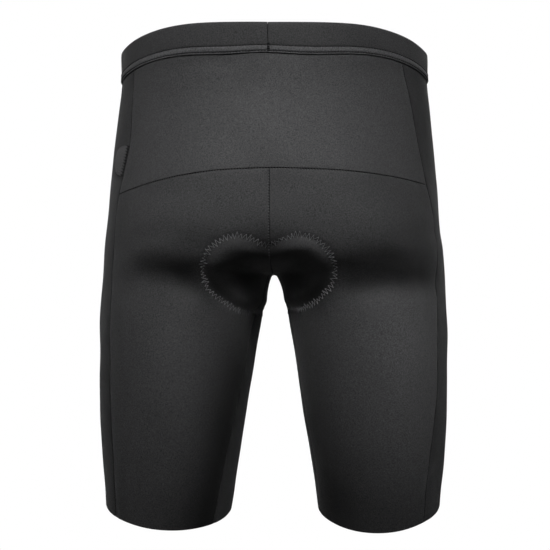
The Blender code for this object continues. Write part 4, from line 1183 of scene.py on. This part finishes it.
def make_pad(pad, finish):
    """The seat pad, thick in the middle, thin at its stitched edge, with pressed channels inside."""
    turn, share = np.meshgrid(np.linspace(0, 360, PAD_SPOKES, endpoint=False),
                              PAD_REACH * np.linspace(1, 0, PAD_RINGS)[:-1])
    middle = pad.at(np.zeros(1), np.zeros(1))
    spots = np.concatenate([pad.polar(turn, share).reshape(-1, 3), middle])
    face, normals = laid(spots, pad, -(WALL + 2 * LAY_GAP))
    share = np.append(share.ravel(), 0.0)
    reach = np.append(pad.reach(turn).ravel(), pad.reach(0.0))
    thick = PAD_THIN + (PAD_THICK - PAD_THIN) * ease((1 - share) / PAD_BEVEL)
    for channel in PAD_CHANNELS:
        thick = thick - PAD_CHANNEL * np.exp(-((share - channel) * reach / PAD_CHANNEL_WIDTH)**2)
    thick = thick + PAD_QUILT * waves(spots, PAD_QUILT_SIZE, PAD_QUILT_SEED) * ease((1 - share) / PAD_BEVEL)
    inner = face - normals * thick[:, None]
    grid = np.arange(len(spots) - 1).reshape(-1, PAD_SPOKES)
    beside = np.roll(grid, -1, axis=1)
    centre = np.full(PAD_SPOKES, len(spots) - 1)
    quads = np.stack([grid[:-1], beside[:-1], beside[1:], grid[1:]], -1).reshape(-1, 4)
    fan = np.stack([grid[-1], beside[-1], centre], -1)
    count = len(spots)
    rim = np.stack([grid[0], grid[0] + count, beside[0] + count, beside[0]], -1)
    faces = quads.tolist() + fan.tolist() + rim.tolist()
    faces += (quads[:, ::-1] + count).tolist() + (fan[:, ::-1] + count).tolist()
    points = np.concatenate([face, inner])
    across = np.append(share[:-1] * reach[:-1], 0.0)
    angle = np.append(np.radians(turn.ravel()), 0.0)
    uv = np.stack([across * np.cos(angle), across * np.sin(angle)], -1)
    facing = np.cross(points[quads[0, 1]] - points[quads[0, 0]], points[quads[0, 3]] - points[quads[0, 0]])
    if facing @ normals[quads[0, 0]] < 0:
        faces = [corners[::-1] for corners in faces]
    made = as_object("pad_seat", points, faces, finish, np.concatenate([uv, uv]))
    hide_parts("seat_pad")
    return made


def tab_root(seams, across):
    """Points of the seam that holds the tab, from its top, at 1, to its foot, at -1."""
    line = seams.side["back", -1]
    order = np.argsort(line[:, 2])
    return read_off(TAB_MIDDLE_Z + TAB_HEIGHT / 2 * across, line[order, 2], line[order])


def make_tab(seams, pad, finish):
    """A half-round tab sewn into the left side seam, lying forward over the side panel."""
    across = np.sin(np.linspace(math.pi / 2, -math.pi / 2, TAB_ROWS + 1))
    bow = np.sqrt(np.clip(1 - np.abs(across)**TAB_ROUND, 0, 1))
    width = TAB_WIDTH * (TAB_ROOT + (1 - TAB_ROOT) * bow)
    start = tab_root(seams, across)
    points = np.stack([walk(start, FORWARD, TAB_INSET + width * share)[-1]
                       for share in fractions(TAB_WIDTH, TAB_WIDTH / TAB_COLUMNS)], axis=1)
    away = edge_distances(points)
    face, normals = laid(points, pad)
    free = np.minimum.reduce([away[edge] for edge in "etb"])
    rim = TAB_RIM * np.exp(-((free - TAB_RIM_WIDTH) / TAB_RIM_WIDTH)**2)
    top = LAY_GAP + TAB_WALL + rim - rolled(free, TAB_EDGE)
    under = LAY_GAP + rolled(free, TAB_EDGE / 2)
    uv = np.stack([away["s"], away["t"]], -1)
    values = dict(seam=free.ravel(), tone=np.ones(free.size), ink=np.zeros(free.size))
    made = shell("tab_side", face + normals * top[..., None], face + normals * under[..., None],
                 normals, uv, values, finish)
    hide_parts("side_tab")
    return made


def strip(name, path, pad, finish, depth=STRIP_DEPTH, trim=(0.0, 0.0)):
    """The overlocked edges inside a seam: a flat strip along it, just inside the cloth."""
    length = lengths(path)[-1]
    count = max(3, round(length / STRIP_SPACING))
    line = settle(along(path, np.linspace(trim[0] / length, 1 - trim[1] / length, count)))
    heading = unit(np.gradient(line, axis=0))
    aside = unit(np.cross(outward(line), heading))
    offsets = STRIP_WIDTH * np.linspace(-0.5, 0.5, STRIP_COLUMNS)
    grid = line[:, None] + aside[:, None] * offsets[None, :, None]
    face, normals = laid(grid, pad, -(WALL + depth))
    arc = np.broadcast_to(lengths(line)[:, None], grid.shape[:2])
    uv = np.stack([np.broadcast_to(offsets, grid.shape[:2]), arc], -1)
    round_off = rolled(STRIP_WIDTH / 2 - np.abs(offsets), STRIP_THICK)[None, :, None]
    inner = face - normals * (STRIP_THICK - round_off * STRIP_ROUND)
    return shell(name, face, inner, normals, uv, {}, finish)


def make_strips(seams, band, pad, finish):
    """The strips inside every seam."""
    middle = np.concatenate([seams.back[:-1], seams.crotch[:-1], seams.front])
    rows = [("middle", middle, STRIP_TRIM), ("yoke", seams.whole_yoke, STRIP_TRIM)]
    for side, hand in HANDS.items():
        for face in FACES:
            rows += [(f"side_{face}_{hand}", seams.side[face, side], HEM_TRIM),
                     (f"inner_{face}_{hand}", seams.inner[face, side], HEM_TRIM)]
    made = [strip(f"overlock_{name}", path, pad, finish, trim=(STRIP_TRIM, trim))
            for name, path, trim in rows]
    ring = band.points(0.0, np.linspace(0, band.length(), 2 * LINE_POINTS))
    made.append(strip("overlock_waist", ring, pad, finish, WAIST_STRIP_DEPTH))
    seam = np.concatenate([band.points(up, np.array([BAND_SEAM_ARC * band.length(up) / band.length()]))
                           for up in np.linspace(0.0, BAND_HEIGHT - BAND_TRIM, BAND_STRIP_POINTS)])
    made.append(strip("overlock_band", seam, pad, finish, WAIST_STRIP_DEPTH, (STRIP_TRIM, 0.0)))
    return made


def threads(name, paths, normals, radius, finish):
    """Stitches as short threads, each bowed up in the middle and sunk into the cloth at its ends."""
    count, points = paths.shape[:2]
    heading = unit(paths[:, -1] - paths[:, 0])[:, None]
    aside = unit(np.cross(normals, heading))
    centre = paths + normals * (radius * THREAD_SINK)[None, :, None]
    angle = np.linspace(0, 2 * math.pi, THREAD_SIDES, endpoint=False)
    girth = (radius * THREAD_GIRTH)[None, :, None, None]
    ring = (aside[:, :, None] * np.cos(angle)[None, None, :, None]
            + normals[:, :, None] * np.sin(angle)[None, None, :, None]) * girth
    corners = (centre[:, :, None] + ring).reshape(-1, 3)
    index = np.arange(count * points * THREAD_SIDES).reshape(count, points, THREAD_SIDES)
    beside = np.roll(index, -1, axis=2)
    quads = np.stack([index[:, :-1], index[:, 1:], beside[:, 1:], beside[:, :-1]], -1).reshape(-1, 4)
    first = index[:, 0].tolist()
    last = index[:, -1, ::-1].tolist()
    return as_object(name, corners, quads.tolist() + first + last, finish, crease=THREAD_CREASE)


def stitch_paths(starts, ends, pad, heights):
    """Points along each stitch, laid on the cloth, and their normals."""
    shares = THREAD_SHARES[None, :, None]
    paths = starts[:, None] * (1 - shares) + ends[:, None] * shares
    face, normals = laid(paths, pad)
    return face + normals * np.broadcast_to(heights, paths.shape[:2])[..., None], normals


def across_seam(line, pad, stitch):
    """Slanted stitches on a seam, all along it."""
    length = lengths(line)[-1]
    count = int((length - 2 * STITCH_TRIM) / stitch["pitch"]) - 1
    arcs = STITCH_TRIM + stitch["pitch"] * (np.arange(count) + 0.5 + stitch.get("shift", 0))
    points = settle(along(line, arcs / length))
    ahead = settle(along(line, arcs / length + STITCH_AHEAD / length))
    heading = unit(ahead - points)
    aside = unit(np.cross(outward(points), heading))
    points = points + aside * stitch.get("aside", 0)
    lean = heading * stitch["lean"]
    reach = aside * stitch["reach"]
    return stitch_paths(points - reach - lean, points + reach + lean, pad, -PULL)


def zigzag_paths(pad, beside=0.0, height=0.0):
    """The zigzag seam round the pad, as one stitch for each stroke."""
    outline = np.concatenate([pad.outline, pad.outline[:1]])
    inward = np.concatenate([pad.inward, pad.inward[:1]])
    length = lengths(outline)
    count = int(round(length[-1] / ZIGZAG["pitch"])) * 2
    draw = np.random.default_rng(ZIGZAG["seed"])
    arc = np.linspace(0, length[-1], count, endpoint=False)
    arc = arc + draw.uniform(-0.5, 0.5, count) * ZIGZAG["uneven"] + beside
    points = read_off(arc, length, outline, period=length[-1])
    into = unit(read_off(arc, length, inward, period=length[-1]))
    turn = np.abs(np.interp(arc, length, np.linspace(-180, 180, len(length))))
    reach = np.where(np.arange(count) % 2 == 0, ZIGZAG["inside"], -ZIGZAG["outside"])
    reach = reach * np.interp(turn, *np.transpose(ZIGZAG_REACH))
    reach = reach + draw.uniform(-1, 1, count) * ZIGZAG["uneven"]
    corners = settle(points + into * reach[:, None])
    return stitch_paths(corners, np.roll(corners, -1, axis=0), pad, height)


def band_paths(band, pad, up):
    """A row of stitches round the band."""
    level = next(row for row in BAND_PROFILE if row["up"] == up)
    length = band.length(up)
    count = int(length / BAND_STITCH["pitch"])
    arcs = BAND_SEAM_ARC + np.arange(count) * length / count
    middle = arcs[:, None] + BAND_STITCH["length"] * (THREAD_SHARES[None] - 0.5)
    points = band.points(up, middle.ravel()).reshape(*middle.shape, 3)
    return laid(points, pad, BAND_PROUD + level["out"] + BAND_STITCH["radius"] * BAND_STITCH["proud"])


def tack_paths(band, pad):
    """The bar tack that holds the end of the band's seam down across the ridge."""
    foot, head = BAND_TACK
    count = 1 + round((head - foot) / TACK_STITCH["pitch"])
    ups = np.linspace(foot, head, count)
    arcs = BAND_SEAM_ARC + TACK_STITCH["aside"] + TACK_STITCH["reach"] * (2 * THREAD_SHARES - 1)
    faces, normals = [], []
    for up in ups:
        points = band.points(up, arcs * band.length(up) / band.length())
        points[:, 2] += TACK_STITCH["lean"] * (2 * THREAD_SHARES - 1)
        proud = BAND_PROUD + float(BAND_OUT_AT(up)) + TACK_STITCH["radius"] * TACK_STITCH["proud"]
        face, normal = laid(points, pad, proud)
        faces.append(face)
        normals.append(normal)
    return np.array(faces), np.array(normals)


def tab_paths(seams, pad):
    """The close stitches that bind the tab into the side seam."""
    count = int(TAB_HEIGHT / TAB_STITCH["pitch"])
    start = tab_root(seams, np.linspace(TAB_STITCH["span"], -TAB_STITCH["span"], count))
    forward = walk(start, FORWARD, TAB_STITCH["inside"])[-1]
    behind = walk(start, BACKWARD, TAB_STITCH["outside"])[-1]
    forward[:, 2] += TAB_STITCH["lean"]
    heights = (LAY_GAP + TAB_WALL + TAB_RIM) * ease(THREAD_SHARES / THREAD_SHARES[1])
    return stitch_paths(behind, forward, pad, heights)


def make_threads(seams, band, pad, dark, grey, pale):
    """All the stitching that shows."""
    rows = [band_paths(band, pad, up) for up in BAND_STITCH_ROWS]
    made = [threads("stitches_band", np.concatenate([row[0] for row in rows]),
                    np.concatenate([row[1] for row in rows]), BAND_STITCH["radius"], dark)]
    made.append(threads("stitches_tack", *tack_paths(band, pad), TACK_STITCH["radius"], dark))
    sides = [seams.side[face, side] for face in FACES for side in HANDS]
    middles = (seams.back, seams.front)
    for name, lines, stitch, finish in (
            ("stitches_yoke", [seams.whole_yoke], YOKE_STITCH, dark),
            ("stitches_yoke_pale", [seams.yoke[1]], YOKE_PALE_STITCH, grey),
            ("stitches_sides", sides, SIDE_STITCH, dark),
            ("stitches_middle", middles, MIDDLE_STITCH, dark),
            ("stitches_middle_pale", middles, PALE_STITCH, grey)):
        parts = [across_seam(line, pad, stitch) for line in lines]
        paths, normals = (np.concatenate(found) for found in zip(*parts))
        made.append(threads(name, paths, normals, stitch["radius"], finish))
    radius = ZIGZAG["radius"]
    made.append(threads("stitches_zigzag", *zigzag_paths(pad, height=radius), radius, pale))
    # A dark copy of the zigzag, a little along it and lower, as its painted shadow
    made.append(threads("stitches_zigzag_shadow", *zigzag_paths(pad, ZIGZAG["beside"]), radius, dark))
    made.append(threads("stitches_tab", *tab_paths(seams, pad), TAB_STITCH["radius"], dark))
    return made


class Finish:
    """A material built from nodes, with short ways to add them."""

    def __init__(self, name):
        self.made = bpy.data.materials.new(name)
        self.made.use_nodes = True
        self.tree = self.made.node_tree
        self.shader = self.tree.nodes["Principled BSDF"]

    def put(self, socket, value):
        """Sets a socket to a number or joins another socket to it."""
        if isinstance(value, bpy.types.NodeSocket):
            self.tree.links.new(value, socket)
        else:
            socket.default_value = value

    def calc(self, kind, first, second=0.0, clamp=False):
        """One step of arithmetic on sockets or numbers."""
        node = self.tree.nodes.new("ShaderNodeMath")
        node.operation = kind
        node.use_clamp = clamp
        self.put(node.inputs[0], first)
        self.put(node.inputs[1], second)
        return node.outputs[0]

    def line(self, value, by, start):
        """A start and so many times a value more."""
        return self.calc("ADD", self.calc("MULTIPLY", value, by), start)

    def value(self, name):
        """One of the values that the points of a piece carry."""
        node = self.tree.nodes.new("ShaderNodeAttribute")
        node.attribute_name = name
        return node.outputs["Fac"]

    def place(self):
        """Position on the object, in metres."""
        return self.tree.nodes.new("ShaderNodeTexCoord").outputs["Object"]

    def weave_place(self):
        """Position across and down the cloth, in metres."""
        node = self.tree.nodes.new("ShaderNodeUVMap")
        node.uv_map = "cloth"
        split = self.tree.nodes.new("ShaderNodeSeparateXYZ")
        self.tree.links.new(node.outputs[0], split.inputs[0])
        return split.outputs[0], split.outputs[1]

    def noise(self, size):
        """Noise from 0 to 1 in bumps of about a size."""
        node = self.tree.nodes.new("ShaderNodeTexNoise")
        self.tree.links.new(self.place(), node.inputs["Vector"])
        node.inputs["Scale"].default_value = 1 / size
        node.inputs["Detail"].default_value = NOISE_DETAIL
        return node.outputs["Fac"]

    def uneven(self, size, amount):
        """A factor near 1 that varies by an amount either way."""
        return self.line(self.calc("SUBTRACT", self.noise(size), 0.5), 2 * amount, 1.0)

    def fade(self, name, width):
        """1 where a value is 0, dying away over a width of it."""
        return self.calc("EXPONENT", self.calc("MULTIPLY", self.value(name), -1 / width))

    def ridges(self, along_it, pitch):
        """A rounded wave from 0 to 1 along a coordinate."""
        turn = self.calc("MULTIPLY", along_it, 2 * math.pi / pitch)
        return self.line(self.calc("SINE", turn), 0.5, 0.5)

    def slanted(self, rows):
        """Rows of thread aslant over the cloth, and the share of the colour that they have."""
        across, down = self.weave_place()
        found = self.ridges(self.line(across, rows["slant"], down), rows["pitch"])
        return found, self.line(found, rows["light"], rows["dark"])

    def product(self, factors):
        """The factors multiplied together."""
        total = factors[0]
        for factor in factors[1:]:
            total = self.calc("MULTIPLY", total, factor)
        return total

    def colour(self, base, factor):
        """The base colour times a factor that varies over the surface."""
        node = self.tree.nodes.new("ShaderNodeVectorMath")
        node.operation = "SCALE"
        node.inputs[0].default_value = base
        self.put(node.inputs["Scale"], factor)
        self.tree.links.new(node.outputs[0], self.shader.inputs["Base Color"])

    def bump(self, layers):
        """Relief from layers of height from 0 to 1 and depth in metres."""
        normal = None
        for height, depth in layers:
            node = self.tree.nodes.new("ShaderNodeBump")
            node.inputs["Strength"].default_value = 1.0
            node.inputs["Distance"].default_value = depth
            self.put(node.inputs["Height"], height)
            if normal is not None:
                self.tree.links.new(normal, node.inputs["Normal"])
            normal = node.outputs[0]
        self.tree.links.new(normal, self.shader.inputs["Normal"])

    def complete(self, look, base, factors=(), layers=()):
        """The material of a row of FINISHES, with more factors of its colour and layers of relief."""
        uneven = [self.uneven(size, amount) for size, amount in look["uneven"]]
        self.colour(base, self.product([*factors, *uneven]))
        self.bump([*layers, *((self.noise(size), depth) for size, depth in look["bumps"])])
        size, amount = look["rough"]
        self.put(self.shader.inputs["Roughness"], self.line(self.noise(size), amount, look["least"]))
        self.shader.inputs["Specular IOR Level"].default_value = look["specular"]
        self.shader.inputs["Sheen Weight"].default_value = look["sheen"]
        self.shader.inputs["Sheen Roughness"].default_value = SHEEN_ROUGHNESS
        return self.made


def base_colour(slot):
    """The colour that the record gives a slot."""
    return next(row["base_color"] for row in frame["record"]["materials"] if row["slot"] == slot)


def knit(slot):
    """Fine stretch knit: columns and rows of loops, a soft grain, slight unevenness of the dye, and painted
    light and shade.
    """
    made, look = Finish(slot), FINISHES["knit"] | KNITS[slot]
    across, down = made.weave_place()
    if look["slant"]:
        across = made.line(down, look["slant"], across)
    loops = made.calc("MULTIPLY", made.ridges(across, look["wale"]), made.ridges(down, look["course"]))
    # Painted shade over the pad
    painted_pad_shade = made.line(made.value("ink"), -PAD_SHADE_SHARE, 1.0)
    # Painted shade in a thin line at the seams
    seam_shade = made.line(made.fade("seam", SEAM_SHADE_WIDTH), -SEAM_SHADE, 1.0)
    # The colour carries the painted light and shade, and the painted shade over the pad and at the seams
    factors = (made.value("tone"), painted_pad_shade, seam_shade)
    return made.complete(look, base_colour(slot), factors, [(loops, look["depth"])])


def thread_finish(name, colour):
    """Spun thread."""
    return Finish(name).complete(FINISHES["thread"], colour)


def overlock_finish(name, colour):
    """Rows of looped thread across a strip."""
    made = Finish(name)
    loops, shade = made.slanted(OVERLOCK_ROWS)
    return made.complete(FINISHES["overlock"], colour, [shade], [(loops, OVERLOCK_ROWS["depth"])])


def pad_finish(slot):
    """Brushed padded knit."""
    return Finish(slot).complete(FINISHES["pad"], base_colour(slot))


def tab_finish(slot):
    """Satin weave: fine slanted floats, with a denser rim."""
    made = Finish(slot)
    floats, shade = made.slanted(TAB_FLOATS)
    rim = made.line(made.fade("seam", TAB_RIM_TONE["width"]), TAB_RIM_TONE["light"], TAB_RIM_TONE["dark"])
    return made.complete(FINISHES["tab"], base_colour(slot), [rim, shade], [(floats, TAB_FLOATS["depth"])])


def add(name, data):
    """A new object in the scene."""
    made = bpy.data.objects.new(name, data)
    bpy.context.scene.collection.objects.link(made)
    return made


def softbox(name, place_at, target, width, height, power, spread=180):
    """A large soft studio light."""
    data = bpy.data.lights.new(name, "AREA")
    data.shape = "RECTANGLE"
    data.size, data.size_y = width, height
    data.energy = power
    data.spread = math.radians(spread)
    made = add(name, data)
    made.location = place_at
    made.rotation_euler = (Vector(target) - Vector(place_at)).to_track_quat("-Z", "Y").to_euler()


def white_to_camera(tree, shader, white, output):
    """Shows a plain white to the camera in place of a shader that still gives and takes light."""
    seen = tree.nodes.new("ShaderNodeLightPath")
    mix = tree.nodes.new("ShaderNodeMixShader")
    tree.links.new(seen.outputs["Is Camera Ray"], mix.inputs[0])
    tree.links.new(shader.outputs[0], mix.inputs[1])
    tree.links.new(white.outputs[0], mix.inputs[2])
    tree.links.new(mix.outputs[0], tree.nodes[output].inputs["Surface"])


def make_studio():
    """White surroundings, and soft lights from above and from both sides."""
    scene = bpy.context.scene
    scene.view_settings.view_transform = "Standard"
    world = bpy.data.worlds.new("studio")
    scene.world = world
    world.use_nodes = True
    tree = world.node_tree
    dim = tree.nodes["Background"]
    dim.inputs["Color"].default_value = WHITE
    dim.inputs["Strength"].default_value = WORLD_FILL
    white = tree.nodes.new("ShaderNodeBackground")
    white.inputs["Color"].default_value = WHITE
    white_to_camera(tree, dim, white, "World Output")
    for light in LIGHTS:
        softbox(**light)


def make_floor():
    """A plain white floor, a metre below the waist."""
    data = bpy.data.meshes.new("floor")
    turn = np.linspace(0, 2 * math.pi, FLOOR_SIDES, endpoint=False)
    rim = np.stack([FLOOR_RADIUS * np.cos(turn), FLOOR_RADIUS * np.sin(turn),
                    np.full(FLOOR_SIDES, FLOOR_Z)], axis=1)
    data.from_pydata(rim.tolist(), [], [list(range(FLOOR_SIDES))])
    made = add("floor", data)
    finish = bpy.data.materials.new("floor")
    finish.use_nodes = True
    tree = finish.node_tree
    shader = tree.nodes["Principled BSDF"]
    shader.inputs["Base Color"].default_value = FLOOR_COLOUR
    shader.inputs["Roughness"].default_value = FLOOR_ROUGHNESS
    white_to_camera(tree, shader, tree.nodes.new("ShaderNodeEmission"), "Material Output")
    data.materials.append(finish)


def make_camera():
    """Level, behind the wearer, a little to the right."""
    data = bpy.data.cameras.new("camera")
    data.sensor_width = SENSOR
    data.lens = SENSOR * CAMERA_DISTANCE / (IMAGE_SIDE * PIXEL)
    made = add("camera", data)
    turn = math.radians(CAMERA_TURN)
    back = Vector((math.sin(turn), -math.cos(turn), 0.0))
    aside = Vector((math.cos(turn), math.sin(turn), 0.0))
    made.location = back * CAMERA_DISTANCE + aside * CAMERA_ASIDE + Vector((0, 0, CAMERA_HEIGHT))
    made.rotation_euler = (-back).to_track_quat("-Z", "Y").to_euler()
    bpy.context.scene.camera = made


def main():
    """Makes every piece with its finish, and sets up the studio."""
    seams = Seams()
    pad = Pad(seams)
    band = Band()
    cloth, side_cloth, band_cloth = (knit(slot) for slot in KNITS)
    dark, grey, pale = (thread_finish(f"thread_{name}", colour) for name, colour in THREADS.items())
    make_yoke(seams, pad, cloth)
    for side in HANDS:
        make_leg(seams, pad, "back", side, cloth)
        make_leg(seams, pad, "front", side, cloth)
        make_side(seams, pad, side, side_cloth)
        make_inner(seams, pad, side, side_cloth)
    make_band(band, pad, band_cloth)
    seat_pad = make_pad(pad, pad_finish("pad"))
    make_tab(seams, pad, tab_finish("tab"))
    for piece in make_strips(seams, band, pad, overlock_finish("overlock", OVERLOCK)):
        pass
    for piece in make_threads(seams, band, pad, dark, grey, pale):
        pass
    make_studio()
    make_floor()
    make_camera()


main()
